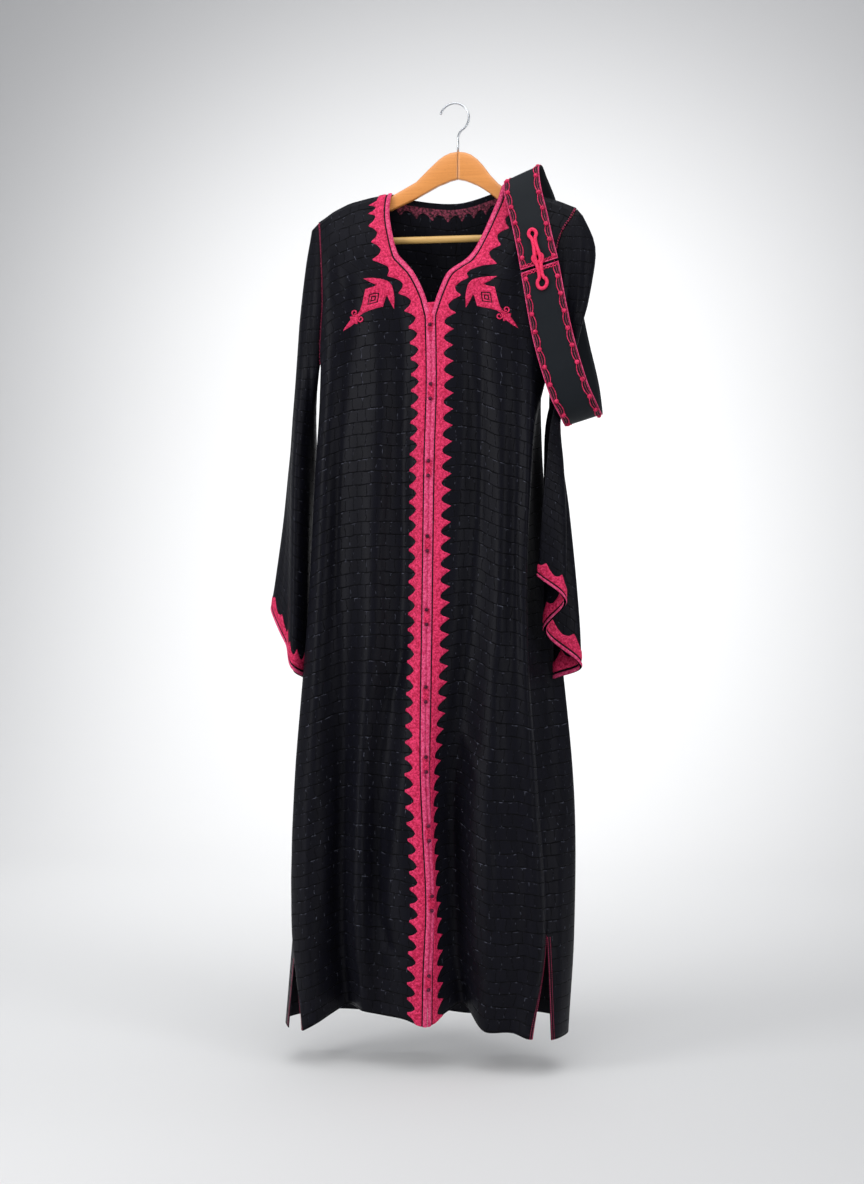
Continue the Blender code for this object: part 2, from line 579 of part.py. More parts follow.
def sleeve(table, bends, drops, cuff, front, back, back_column, turn, underarm):
    """Grid of a sleeve: open rows round the armhole, then closed ones down to the cuff."""
    levels = [row[0] for row in table]
    lines = np.array([row[1:6] for row in table], float).reshape(len(table), -1)
    thick = np.array([row[6] for row in table], float)
    top = front.grid[0, -1][2] - 1.0

    def height(q, t):
        end = cuff[0] + (cuff[1] - cuff[0]) * smooth(bends, drops, q)
        return underarm + (end - underarm) * t

    def middle(q, z):
        return smooth(bends, smooth(levels, lines, z).reshape(5, 2), q)

    def point(q, z, side, pinch):
        along_x, along_y = middle(min(q + 0.01, 1), z) - middle(max(q - 0.01, 0), z)
        normal = np.array((-along_y, along_x)) / math.hypot(along_x, along_y)
        swell = float(smooth(levels, thick, z)) / 2 * math.sin(math.pi * q) ** TUBE_POWER
        for bend in bends[1:-1]:
            swell *= 1 - pinch * math.exp(-((q - bend) / PINCH_WIDTH) ** 2)
        x, y = middle(q, z) - normal * (swell * side * turn)
        if z > underarm:
            ends = [armhole_point(front, -1, z), armhole_point(back, back_column, z)]
            y += side * (ends[1][1] - ends[0][1]) / 2 * math.sin(math.pi * q / 2) ** HEAD_POWER
        return np.array((x, y, z))

    shares = [bends[i] + (bends[i + 1] - bends[i]) * k / SLEEVE_CELLS
              for i in range(len(bends) - 1) for k in range(SLEEVE_CELLS)] + [1.0]
    ring = [(q, 1) for q in shares[::-1]] + [(q, -1) for q in shares[1:]]
    tip = (armhole_point(front, -1, top) + armhole_point(back, back_column, top)) / 2
    grid = [[tip] * len(ring)]
    for share in SLEEVE_HEAD:
        z = top + (underarm - top) * share
        line = []
        for q, side in ring:
            panel, column = (front, -1) if side < 0 else (back, back_column)
            off = armhole_point(panel, column, z) - point(1, z, side, 0)
            line.append(point(q, z, side, 0) + off * q ** 3)
        grid.append(line)
    length = (2 * underarm - cuff[0] - cuff[1]) / 2
    cuff_rows = [1 - step / length for step in CUFF_STEPS[::-1]]
    rows = list(np.linspace(0, cuff_rows[0], SLEEVE_ROWS + 1))[:-1] + cuff_rows
    rows.insert(1, rows[1] / 2)
    for t in rows:
        pinch = PINCH * min(t / PINCH_START, 1)
        grid.append([point(q, height(q, t), side, pinch) for q, side in ring])
    return Cloth(grid, turn)


def cuff_trim(side, cloth):
    """Braid and toothed band round the cuff."""
    last = cloth.grid.shape[0] - 1
    columns = list(range(cloth.grid.shape[1]))
    count = cloth.grid.shape[1] - 1

    def wrap(faces):
        return [tuple((row, column % count) for row, column in face) for face in faces]

    braid = turned(strip(columns, last - 1, last))
    trim_sheet("cuff_braid_" + side, cloth, wrap(braid), "pink braid", CUFF_LIFT)
    faces = turned(strip(columns, last - 3, last - 2))
    teeth = [((a, last - 3), ((a + b) / 2, last - 4), (b, last - 3))
             for a, b in zip(columns, columns[1:])]
    faces += turned(teeth)
    trim_sheet("cuff_embroidery_" + side, cloth, wrap(faces), "pink embroidery", CUFF_LIFT)


def on_front(cloth, x, z):
    """Row and column of the front panel's point nearest to x and z, seen from in front."""
    grid = cloth.grid[:, :, [0, 2]]
    aim = np.array((x, z))
    best, found = math.inf, None
    for r in range(grid.shape[0] - 1):
        for c in range(grid.shape[1] - 1):
            corner = grid[r, c]
            if abs(corner[0] - x) > MOTIF_REACH[0] or abs(corner[1] - z) > MOTIF_REACH[1]:
                continue
            dr = dc = 0.5
            for _ in range(4):
                across = (grid[r, c + 1] - corner) * (1 - dr)
                across = across + (grid[r + 1, c + 1] - grid[r + 1, c]) * dr
                down = (grid[r + 1, c] - corner) * (1 - dc)
                down = down + (grid[r + 1, c + 1] - grid[r, c + 1]) * dc
                here = corner + (grid[r + 1, c] - corner) * dr + across * dc
                step = np.linalg.solve(np.array((across, down)).T, aim - here)
                dc = min(max(dc + step[0], 0.0), 1.0)
                dr = min(max(dr + step[1], 0.0), 1.0)
            here = corner + (grid[r + 1, c] - corner) * dr
            here = here + ((grid[r, c + 1] - corner) * (1 - dr)
                           + (grid[r + 1, c + 1] - grid[r + 1, c]) * dr) * dc
            miss = float(np.linalg.norm(aim - here))
            if miss < best:
                best, found = miss, (r + dr, c + dc)
    return found


def chest_motif(name, cloth, mirror, at):
    """A raised bud with its leaves and stalk, cut as one shape and laid on the chest."""
    corners = list(MOTIF_HALF) + [(along_it, -out) for along_it, out in MOTIF_HALF[-2:0:-1]]
    tilt = Matrix.Rotation(MOTIF_TILT, 2)
    outline = []
    for a, b in zip(corners, corners[1:] + corners[:1]):
        a, b = tilt @ Vector(a), tilt @ Vector(b)
        outline += [a, a.lerp(b, 0.5)] if (b - a).length > MOTIF_GRID else [a]
    inside = []
    low_x = min(p[0] for p in outline)
    low_z = min(p[1] for p in outline)
    for i in range(10):
        for j in range(11):
            inside.append(Vector((low_x + (i + 0.5 * (j % 2)) * MOTIF_GRID,
                                  low_z + (j + 0.5) * MOTIF_GRID * 0.87)))
    edges = [(i, (i + 1) % len(outline)) for i in range(len(outline))]
    flat, _, faces, _, _, _ = delaunay_2d_cdt(outline + inside, edges, [], 1, 0.01)
    points = []
    for p in flat:
        spot = on_front(cloth, at[0] + mirror * p[0], at[1] + p[1])
        points.append(cloth.at(spot[0], spot[1], MOTIF_LIFT))
    faces = [tuple(f) if mirror > 0 else tuple(f)[::-1] for f in faces]
    thicken(add_mesh(name, points, faces, "pink embroidery"), TRIM_THICK, True)


def join(first, second):
    """Union of second into first."""
    union = first.modifiers.new("union", "BOOLEAN")
    union.operation = "UNION"
    union.object = second
    second.hide_render = True
    second.display_type = "WIRE"
    robe.objects.unlink(second)
    cutters.objects.link(second)


def button_pair(number, z, left, right):
    """A woven tab across the opening with two dark knots on it."""
    share = V_SHARE + (z - V_BOTTOM) / (CENTRE[-1][2] - V_BOTTOM) * (1 - V_SHARE)
    row = float(np.interp(share, SHARES, range(len(SHARES))))
    middle = (left.at(row, 0, TAB_LIFT) + right.at(row, 0, TAB_LIFT)) / 2
    ahead = (left.at(row + 0.3, 0, TAB_LIFT) + right.at(row + 0.3, 0, TAB_LIFT)) / 2
    out = Vector(left.at(row, 0, 1) - left.at(row, 0) + right.at(row, 0, 1) - right.at(row, 0))
    down = Vector(ahead - middle).normalized()
    out = (out - down * out.dot(down)).normalized()
    across = down.cross(out)
    width, height, thick = TAB
    name = "button_%02d" % number

    mesh = bpy.data.meshes.new(name)
    shape = bmesh.new()
    bmesh.ops.create_cube(shape, size=1)
    for corner in shape.verts:
        local = corner.co * MM
        corner.co = across * local.x * width + down * local.y * height + out * local.z * thick
    shape.normal_update()
    if shape.calc_volume(signed=True) < 0:
        bmesh.ops.reverse_faces(shape, faces=shape.faces[:])
    shape.to_mesh(mesh)
    shape.free()
    tab = add_object(name, mesh, "pink embroidery")
    tab.location = Vector(middle) * MM + out * thick / 2 * MM
    for k in (-0.5, 0.5):
        ball = bpy.data.meshes.new(name + " knot")
        shape = bmesh.new()
        bmesh.ops.create_uvsphere(shape, u_segments=6, v_segments=4, radius=KNOT_DIAMETER / 2 * MM)
        shape.to_mesh(ball)
        shape.free()
        knot = add_object(name + " knot %+.1f" % k, ball, "dark knots")
        knot.location = tab.location + (down * k * KNOT_APART + out * (thick / 2 + KNOT_LIFT)) * MM
        join(tab, knot)


def belt_grid():
    """Both edges of the belt, station by station, on smooth curves through the table's rows."""
    rows = np.array(BELT, float).reshape(len(BELT), -1)
    run = [0.0]
    for a, b in zip(rows, rows[1:]):
        run.append(run[-1] + float(np.linalg.norm(b - a)))
    run[-1] = max(run[-1], run[-2] + 1)
    return [smooth(run, rows, d).reshape(2, 3) for d in np.linspace(0, run[-1], BELT_ROWS + 1)]


def make_belt():
    """The belt: a stiff band whose two ends nearly meet at the frog."""
    grid = Cloth(belt_grid(), -1)
    rows, columns = grid.grid.shape[:2]
    faces = [(r * 2, r * 2 + 2, r * 2 + 3, r * 2 + 1) for r in range(rows - 1)]
    piece = add_mesh("belt", grid.grid.reshape(-1, 3), faces, "belt cloth")
    thicken(piece, BELT_THICK, False)
    return grid


def tube(name, points, diameter, finish, closed=False, sides=2):
    """A round cord or wire through points in millimetres."""
    curve = bpy.data.curves.new(name, "CURVE")
    curve.dimensions = "3D"
    curve.bevel_depth = diameter / 2 * MM
    curve.bevel_resolution = sides
    curve.use_fill_caps = True
    spline = curve.splines.new("POLY")
    spline.points.add(len(points) - 1)
    for spot, point in zip(spline.points, points):
        spot.co = (*(Vector(point) * MM), 1)
    spline.use_cyclic_u = closed
    return add_object(name, curve, finish)


def make_hook():
    """Steel wire hook: round crook, then down into the wood."""
    middle_z = HOOK_WIRE / 2 - HOOK_RADIUS
    points = []
    for angle in range(int(HOOK_TIP_ANGLE), -61, -15):
        a = math.radians(angle)
        points.append((HOOK_RADIUS * math.cos(a), 0, middle_z + HOOK_RADIUS * math.sin(a)))
    x, _, z = points[-1]
    points += [(HANGER_MIDDLE + (x - HANGER_MIDDLE) * 0.4, 0, z - 5),
               (HANGER_MIDDLE, 0, z - 12), (HANGER_MIDDLE, 0, ARM_LEFT[0][1] + HOOK_SINK)]
    tube("hanger_hook", points, HOOK_WIRE, "chromed steel")


def make_arm(name, table, side):
    """One arm of the hanger: flat wood with a round top edge and softened lower edge."""
    half = ARM_THICK / 2
    section = [(-half, -half), (-half * 0.72, -half * 0.3), (0, 0), (half * 0.72, -half * 0.3),
               (half, -half)]
    points, faces = [], []
    for x, top, height in table:
        low = [(half, height - 2), (half * 0.6, height), (-half * 0.6, height),
               (-half, height - 2)]
        ring = [(y, top + z) for y, z in section] + [(y, top - drop) for y, drop in low]
        points += [(HANGER_MIDDLE + side * x, y, z) for y, z in ring]
    count = len(section) + 4
    for r in range(len(table) - 1):
        for c in range(count):
            d = (c + 1) % count
            face = (r * count + c, r * count + d, (r + 1) * count + d, (r + 1) * count + c)
            faces.append(face if side < 0 else face[::-1])
    first = list(range(count))
    last = [(len(table) - 1) * count + c for c in range(count)]
    faces.append(first[::-1] if side < 0 else first)
    faces.append(last if side < 0 else last[::-1])
    add_mesh(name, points, faces, "varnished beech")


def make_bar():
    """Round trouser bar between the arms' ends."""
    mesh = bpy.data.meshes.new("hanger_bar")
    shape = bmesh.new()
    start, end = BAR_ENDS
    bmesh.ops.create_cone(shape, cap_ends=True, segments=16, radius1=BAR_DIAMETER / 2 * MM,
                          radius2=BAR_DIAMETER / 2 * MM, depth=(end - start) * MM)
    shape.to_mesh(mesh)
    shape.free()
    bar = add_object("hanger_bar", mesh, "pale beech")
    bar.rotation_euler = (0, math.pi / 2, 0)
    bar.location = Vector(((start + end) / 2, 0, BAR_Z)) * MM


def frog_loop(name, belt, ring_row, end_row):
    """A cord loop on the belt: a ring at one end, and two cords side by side to the other."""
    row_length = float(np.linalg.norm(belt.grid[1, 0] - belt.grid[0, 0]))
    width = float(np.linalg.norm(belt.grid[0, 0] - belt.grid[0, 1]))
    toward = 1 if end_row > ring_row else -1
    outline = []
    for angle in range(-140, 141, 40):
        a = math.radians(angle)
        outline.append((ring_row - toward * FROG_RING * math.cos(a) / row_length,
                        FROG_RING * math.sin(a)))
    outline += [(end_row, FROG_SHAFT), (end_row, -FROG_SHAFT)]
    lift = FROG_CORD / 2 + FROG_LIFT
    points = [belt.at(row, 0.5 + across / width, lift) for row, across in outline]
    tube(name, points, FROG_CORD, "pink braid", closed=True)


for old in list(bpy.data.objects):
    bpy.data.objects.remove(old)
robe = new_collection("jebba")
cutters = new_collection("cutters")

left_cloth, back_cloth, right_cloth = body_panels()
left_cloth.make("front_left", "black jacquard")
right_cloth.make("front_right", "black jacquard")
back_cloth.make("back", "black jacquard")
front_trim("left", left_cloth)
front_trim("right", right_cloth)
back_neck_trim(back_cloth)
left_sleeve = sleeve(SLEEVE_LEFT, SLEEVE_BENDS_LEFT, CUFF_DROPS_LEFT, CUFF_LEFT,
                     left_cloth, back_cloth, 0, -1, UNDERARM_LEFT)
right_sleeve = sleeve(SLEEVE_RIGHT, SLEEVE_BENDS_RIGHT, CUFF_DROPS_RIGHT, CUFF_RIGHT,
                      right_cloth, back_cloth, -1, 1, UNDERARM_RIGHT)
left_sleeve.make("sleeve_left", "black jacquard")
right_sleeve.make("sleeve_right", "black jacquard")
cuff_trim("left", left_sleeve)
cuff_trim("right", right_sleeve)
chest_motif("motif_left", left_cloth, -1, MOTIF_LEFT_AT)
chest_motif("motif_right", right_cloth, 1, MOTIF_RIGHT_AT)
for pair, height in enumerate(BUTTONS, 1):
    button_pair(pair, height, left_cloth, right_cloth)
belt_cloth = make_belt()
make_hook()
make_arm("hanger_arm_left", ARM_LEFT, -1)
make_arm("hanger_arm_right", ARM_RIGHT, 1)
make_bar()
frog_loop("frog_upper", belt_cloth, 31.94, 33.55)
frog_loop("frog_lower", belt_cloth, 1.12, 0.1)
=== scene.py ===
"""A jebba, a long black jacquard robe with pink embroidery, on a wooden clothes hanger.

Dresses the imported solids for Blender 4.5. Metres, +Z up, origin at the hook's top, -Y is the front,
left and right are the viewer's. Cloth is worked out in millimetres and turned to metres as it is made.
"""
import math

import bmesh
import bpy
import numpy as np
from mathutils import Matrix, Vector
from mathutils.bvhtree import BVHTree
from mathutils.geometry import delaunay_2d_cdt


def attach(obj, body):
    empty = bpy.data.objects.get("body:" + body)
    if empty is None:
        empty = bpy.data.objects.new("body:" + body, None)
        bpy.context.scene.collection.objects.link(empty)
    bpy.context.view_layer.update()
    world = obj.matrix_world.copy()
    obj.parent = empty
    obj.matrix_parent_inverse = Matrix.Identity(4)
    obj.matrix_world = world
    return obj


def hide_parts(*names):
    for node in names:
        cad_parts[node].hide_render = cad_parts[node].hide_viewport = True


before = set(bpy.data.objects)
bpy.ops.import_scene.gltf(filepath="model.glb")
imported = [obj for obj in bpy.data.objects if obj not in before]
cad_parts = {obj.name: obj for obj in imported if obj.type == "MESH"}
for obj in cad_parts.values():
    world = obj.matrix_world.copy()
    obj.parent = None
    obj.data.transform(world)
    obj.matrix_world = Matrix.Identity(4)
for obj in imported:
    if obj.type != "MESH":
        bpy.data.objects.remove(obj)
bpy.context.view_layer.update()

# The camera stands at the photograph's angle, eight degrees round to the right and level with the
# robe's middle, so that the hook and the hem are both in the frame.
VIEW_ANGLE = math.radians(8)
VIEW_MIDDLE = Vector((-0.0378, 0.0, -0.811))
VIEW_DISTANCE = 2.8
SENSOR_WIDTH = 36.0
FOCAL_LENGTH = 51.08

lens = bpy.data.cameras.new("camera")
lens.sensor_width = SENSOR_WIDTH
lens.lens = FOCAL_LENGTH
camera = bpy.data.objects.new("camera", lens)
bpy.context.scene.collection.objects.link(camera)
camera.location = VIEW_MIDDLE + VIEW_DISTANCE * Vector((math.sin(VIEW_ANGLE), -math.cos(VIEW_ANGLE), 0))
camera.rotation_euler = (math.pi / 2, 0, VIEW_ANGLE)
bpy.context.scene.camera = camera
bpy.context.scene.view_settings.view_transform = "Standard"


# A pale studio floor of matt painted board, bent up behind the robe into a wall. Its colour is
# painted lighter behind the robe, a painted pool of light. The wall stands further off than the
# camera, so that a view of the back has room.
def linear(code):
    """Linear RGBA of an sRGB hex colour."""
    values = [int(code[i:i + 2], 16) / 255 for i in (0, 2, 4)]
    return [c / 12.92 if c <= 0.04045 else ((c + 0.055) / 1.055) ** 2.4 for c in values] + [1.0]


def add_node(tree, kind, links=None, **settings):
    """A shader node with its settings, and its inputs set to values or to other nodes' outputs."""
    made = tree.nodes.new("ShaderNode" + kind)
    for name, value in settings.items():
        setattr(made, name, value)
    for socket, value in (links or {}).items():
        if isinstance(value, bpy.types.NodeSocket):
            tree.links.new(value, made.inputs[socket])
        else:
            made.inputs[socket].default_value = value
    return made


def finish_named(name, colour, roughness):
    """A new material with one Principled shader, and that shader's tree and node."""
    made = bpy.data.materials.new(name)
    made.use_nodes = True
    shader = made.node_tree.nodes["Principled BSDF"]
    shader.inputs["Base Color"].default_value = linear(colour)
    shader.inputs["Roughness"].default_value = roughness
    return made, made.node_tree, shader


FLOOR_Z = -1.606
FLOOR_REACH = 6.0
BEND_START = 2.0
BEND_RADIUS = 1.6
WALL_HEIGHT = 5.0
# Middle of the painted pool of light, where depth is squashed by its share, and how far round it
# the painted fall-off to grey begins and is full
PAINTED_LIGHT_MIDDLE = (-0.55, 0.84, -0.8)
PAINTED_LIGHT_REACH = 0.57
PAINTED_FALLOFF_REACH = 2.8
DEPTH_SHARE = 0.233

board, board_tree, board_shader = finish_named("matt painted board", "E6E6E6", 0.9)
place = add_node(board_tree, "NewGeometry").outputs["Position"]
squashed = add_node(board_tree, "VectorMath", {0: place, 1: (1, DEPTH_SHARE, 1)}, operation="MULTIPLY")
from_middle = add_node(board_tree, "VectorMath", {0: squashed.outputs[0], 1: PAINTED_LIGHT_MIDDLE},
                       operation="DISTANCE")
# Painted light: the board's colour runs from light near the middle to grey further out, standing in for the
# fall-off of the lamps' light.
painted_falloff = add_node(board_tree, "MapRange", {"Value": from_middle.outputs["Value"], "From Min": PAINTED_LIGHT_REACH,
                                             "From Max": PAINTED_FALLOFF_REACH}, interpolation_type="SMOOTHSTEP")
paint = add_node(board_tree, "Mix", {0: painted_falloff.outputs[0], 6: linear("E8E8E8"), 7: linear("B8B8B9")},
                 data_type="RGBA")
board_tree.links.new(paint.outputs[2], board_shader.inputs["Base Color"])
board_grain = add_node(board_tree, "TexNoise", {"Scale": 180.0, "Detail": 3.0})
board_bump = add_node(board_tree, "Bump", {"Height": board_grain.outputs["Fac"], "Strength": 0.05,
                                           "Distance": 0.001})
board_tree.links.new(board_bump.outputs["Normal"], board_shader.inputs["Normal"])

profile = [(-FLOOR_REACH, 0.0), (BEND_START, 0.0)]
profile += [(BEND_START + BEND_RADIUS * math.sin(a), BEND_RADIUS * (1 - math.cos(a)))
            for a in np.linspace(0.1, math.pi / 2, 16)]
profile.append((BEND_START + BEND_RADIUS, WALL_HEIGHT))
floor_points = [(x, y, FLOOR_Z + z) for y, z in profile for x in (-FLOOR_REACH, FLOOR_REACH)]
floor_faces = [(2 * i, 2 * i + 1, 2 * i + 3, 2 * i + 2) for i in range(len(profile) - 1)]
floor_mesh = bpy.data.meshes.new("studio floor")
floor_mesh.from_pydata(floor_points, [], floor_faces)
floor_mesh.polygons.foreach_set("use_smooth", [True] * len(floor_faces))
floor_mesh.materials.append(board)
studio_floor = bpy.data.objects.new("studio_floor", floor_mesh)
bpy.context.scene.collection.objects.link(studio_floor)

world = bpy.data.worlds.new("studio")
world.use_nodes = True
world.node_tree.nodes["Background"].inputs["Color"].default_value = (0.92, 0.95, 1.0, 1)
world.node_tree.nodes["Background"].inputs["Strength"].default_value = 0.35
bpy.context.scene.world = world

# Studio lights: a tall window on each side, a wide ceiling panel and a wash on the wall, all soft
# rectangles. Each row has a name, a place, the point aimed at, a width, a height and watts.
for name, place, aim, width, height, watts in (
        ("window left", (-2.4, -1.9, -0.2), (0, 0, -0.8), 1.2, 2.4, 54),
        ("window right", (2.3, -1.6, -0.5), (0, 0, -0.9), 0.8, 2.2, 22),
        ("ceiling", (0.2, -0.9, 1.6), (0, 0, -0.9), 3.4, 3.0, 66),
        ("wall wash", (-0.3, 1.5, 0.9), (-0.3, 3.6, -0.6), 2.8, 0.8, 50)):
    lamp = bpy.data.lights.new(name, "AREA")
    lamp.shape = "RECTANGLE"
    lamp.size = width
    lamp.size_y = height
    lamp.energy = watts
    light = bpy.data.objects.new(name, lamp)
    bpy.context.scene.collection.objects.link(light)
    light.location = place
    light.rotation_euler = (Vector(aim) - Vector(place)).to_track_quat("-Z", "Y").to_euler()


# Body of the robe: two front panels and one back, cut from satin jacquard with a scale-like weave and
# hung from shoulder seams. Each is a thin sheet worked out from its edges and its main folds.
MM = 0.001
CLOTH_THICKNESS = 0.8
SEAM_GAP = 0.5
CENTRE_GAP = 0.7
SHOULDER_GAP = 1.4
SHOULDER_ROLL = 8.0
OVER_HANGER = 10.0
V_BOTTOM = -357.0
V_SHARE = 0.156
ARMHOLE_BULGE = 30.0
ROBE_LENGTH = 1.38
TRIM_STEPS = (0, 8, 22, 38)
NECK_TRIM_STEPS = (0, 8, 25, 43)
PLAIN_COLUMNS = 9
NECK_ROWS = 6
BODY_ROWS = 22
V_ROW = 9
ROW_CUTS = 7
COLUMN_CUTS = 7
CURVE_CUTS = 12
SLANT_STEP = 0.004
MOST_SLANT = 1.6

# Front edges: x, y, z down the neckline, and on down the middle
NECK_LEFT = ((-105, -10, -145), (-108, -14, -179), (-102, -22, -215), (-91, -28, -252),
             (-77, -32, -268), (-63, -36, -285), (-45, -41, -321))
NECK_RIGHT = ((81, -10, -137), (75, -14, -161), (64, -18, -189), (49, -23, -224), (34, -28, -252),
              (19, -33, -268), (5, -37, -277), (-7, -40, -288), (-20, -43, -317))
CENTRE = ((-34, -45, -357), (-32, -50, -472), (-35, -54, -595), (-38, -58, -850),
          (-40, -62, -1090), (-36, -62, -1200), (-31, -60, -1321), (-37, -50, -1438),
          (-40, -40, -1526))
# Shoulder line: x, z
SHOULDER_LEFT = ((-105, -145), (-150, -153), (-194, -167), (-231, -190))
SHOULDER_RIGHT = ((81, -137), (120, -149), (169, -165), (203, -179))
# Side seams: x, y, z from the shoulder end to the slit's top
SIDE_LEFT = ((-231, 0, -190), (-227, 0, -205), (-221, 0, -261), (-218, 0, -325),
             (-226, 2, -432), (-229, 6, -600), (-240, 14, -850), (-262, 16, -1150),
             (-270, 8, -1380))
SIDE_RIGHT = ((203, 0, -179), (194, 0, -199), (182, 0, -218), (173, 0, -245), (164, 0, -310),
              (163, 0, -410), (142, 0, -500), (122, 2, -600), (112, 6, -850), (136, 2, -1150),
              (153, -6, -1380))
UNDERARM_LEFT = -432
UNDERARM_RIGHT = -410
HEM_LEFT_FRONT = (-255, -22, -1543)
HEM_LEFT_BACK = (-279, -12, -1543)
HEM_RIGHT_FRONT = (134, -38, -1540)
HEM_RIGHT_BACK = (162, -25, -1544)

# Folds: x at the shoulder, x at each level and at the hem, y at each level and at the hem, z at the hem
LEVELS = (-250, -350, -600, -850, -1150, -1380)
FRONT_LEFT_FOLDS = (
    (-122, (-112, -64, -62, -62, -76, -84, -80), (-33, -43, -48, -52, -60, -60, -36), -1516),
    (-140, (-130, -88, -85, -88, -122, -126, -122), (-35, -38, -36, -38, -30, -32, -18), -1514),
    (-158, (-151, -126, -128, -130, -152, -153, -150), (-38, -45, -54, -60, -52, -50, -30), -1506),
    (-178, (-173, -166, -184, -185, -188, -190, -186), (-34, -36, -33, -30, -10, 2, 26), -1510),
    (-203, (-202, -196, -214, -222, -232, -236, -228), (-36, -40, -44, -48, -50, -44, -30), -1530),
    (-217, (-213, -210, -231, -245, -268, -272, -250), (-32, -37, -22, -22, -22, -18, -30), -1542),
)
FRONT_RIGHT_FOLDS = (
    (98, (56, 10, 10, 4, -25, -20, -12), (-33, -50, -55, -52, -34, -32, -10), -1508),
    (116, (76, 42, 44, 32, 2, 4, 14), (-34, -41, -40, -34, -14, -12, 14), -1500),
    (138, (100, 78, 82, 78, 60, 62, 52), (-42, -49, -52, -56, -60, -56, -32), -1532),
    (158, (124, 108, 108, 104, 106, 112, 98), (-38, -43, -40, -42, -46, -42, -28), -1534),
    (178, (150, 136, 127, 123, 134, 146, 122), (-39, -43, -46, -47, -46, -36, -38), -1540),
    (192, (164, 152, 131, 121, 142, 153, 130), (-34, -38, -22, -24, -22, -18, -39), -1541),
)
BACK_FOLDS = (
    (-212, (-211, -205, -222, -240, -266, -284, -292), (27, 31, 40, 56, 64, 62, 50), -1540),
    (-170, (-174, -172, -180, -190, -205, -220, -225), (31, 38, 60, 78, 92, 100, 98), -1536),
    (-105, (-119, -122, -125, -130, -140, -150, -150), (30, 34, 54, 64, 74, 82, 84), -1532),
    (-86, (-66, -60, -60, -62, -66, -70, -70), (34, 42, 68, 86, 100, 108, 106), -1530),
    (0, (0, 0, 5, 10, 15, 18, 18), (31, 36, 56, 66, 74, 78, 78), -1530),
    (62, (58, 58, 66, 84, 95, 100, 98), (34, 40, 72, 92, 102, 110, 108), -1530),
    (81, (102, 106, 116, 146, 170, 176, 166), (32, 38, 76, 102, 104, 104, 94), -1534),
    (150, (141, 138, 142, 164, 195, 196, 187), (33, 38, 68, 96, 70, 56, 38), -1543),
    (186, (163, 152, 128, 128, 162, 176, 178), (29, 28, 38, 64, 28, 12, -2), -1544),
)
BACK_CELLS = (1, 2, 2, 1, 3, 3, 1, 2, 2, 1)
BACK_NECK = {3: 6.0, 4: 12.0, 5: 15.0, 6: 12.0, 7: 6.0}
BACK_NECK_Z = {4: -152.0, 5: -162.0, 6: -148.0}


def smooth(knots, values, at):
    """Value on the smooth curve through values, given at rising or falling knots."""
    knots, values = np.asarray(knots, float), np.asarray(values, float)
    if knots[-1] < knots[0]:
        knots, at = -knots, -at
    i = min(max(int(np.searchsorted(knots, at)) - 1, 0), len(knots) - 2)
    a, b = max(i - 1, 0), min(i + 2, len(knots) - 1)
    before = (values[i + 1] - values[a]) / (knots[i + 1] - knots[a])
    after = (values[b] - values[i]) / (knots[b] - knots[i])
    step = knots[i + 1] - knots[i]
    t = min(max((at - knots[i]) / step, 0.0), 1.0)
    return ((2 * t ** 3 - 3 * t ** 2 + 1) * values[i] + (t ** 3 - 2 * t ** 2 + t) * step * before
            + (3 * t ** 2 - 2 * t ** 3) * values[i + 1] + (t ** 3 - t ** 2) * step * after)


def down_path(path, z):
    """Point at height z on a path given as rows of x, y, z."""
    rows = np.array(path, float)
    x, y = smooth(rows[:, 2], rows[:, :2], z)
    return np.array((x, y, z))


def fine_steps(values, cuts):
    """The values with so many even steps put between each two."""
    coarse = range(len(values))
    return np.interp(np.linspace(0, len(values) - 1, (len(values) - 1) * cuts + 1), coarse, values)


def roll(share, top_z, hem_z):
    """0 on the shoulder seam, 1 where the cloth has passed over the hanger."""
    return min(1.0, share * (top_z - hem_z) / SHOULDER_ROLL + 1e-9)


def edge_point(neck, share):
    """Point on a front edge, a share of the way down."""
    if share < V_SHARE:
        path = neck + CENTRE[:1]
        z = neck[0][2] + (V_BOTTOM - neck[0][2]) * share / V_SHARE
    else:
        path = CENTRE
        z = V_BOTTOM + (CENTRE[-1][2] - V_BOTTOM) * (share - V_SHARE) / (1 - V_SHARE)
    x, y, z = down_path(path, z)
    over = roll(share, neck[0][2], CENTRE[-1][2])
    return np.array((x, -SHOULDER_GAP + (y + SHOULDER_GAP) * over, z))


def fold_point(fold, share, shoulder, side, neck_top=None):
    """Point on a fold of the front (side -1) or the back (side 1)."""
    top_x, xs, ys, hem_z = fold
    if neck_top is None:
        line = np.array(shoulder, float)
        top_z = float(smooth(line[:, 0] * np.sign(top_x), line[:, 1], top_x * np.sign(top_x)))
        top_y = OVER_HANGER * side
        rolled = SHOULDER_GAP * side
    else:
        rolled, top_z = neck_top
        top_y = max(rolled, OVER_HANGER)
    knots = (top_z,) + LEVELS + (hem_z,)
    z = top_z + (hem_z - top_z) * share
    x, y = smooth(knots, np.array(((top_x,) + xs, (top_y,) + ys)).T, z)
    return np.array((x, rolled + (y - rolled) * roll(share, top_z, hem_z), z))


def side_point(path, corner, underarm, share, side):
    """Point on a panel's outer edge: armhole, side seam and slit."""
    top_z = path[0][2]
    z = top_z + (corner[2] - top_z) * share
    x, y, z = down_path(path + (corner,), z)
    if z > underarm:
        y += side * ARMHOLE_BULGE * math.sin(math.pi * (top_z - z) / (top_z - underarm)) ** 0.5
    over = roll(share, top_z, corner[2])
    return np.array((x, side * SHOULDER_GAP * (1 - over) + y * over, z))


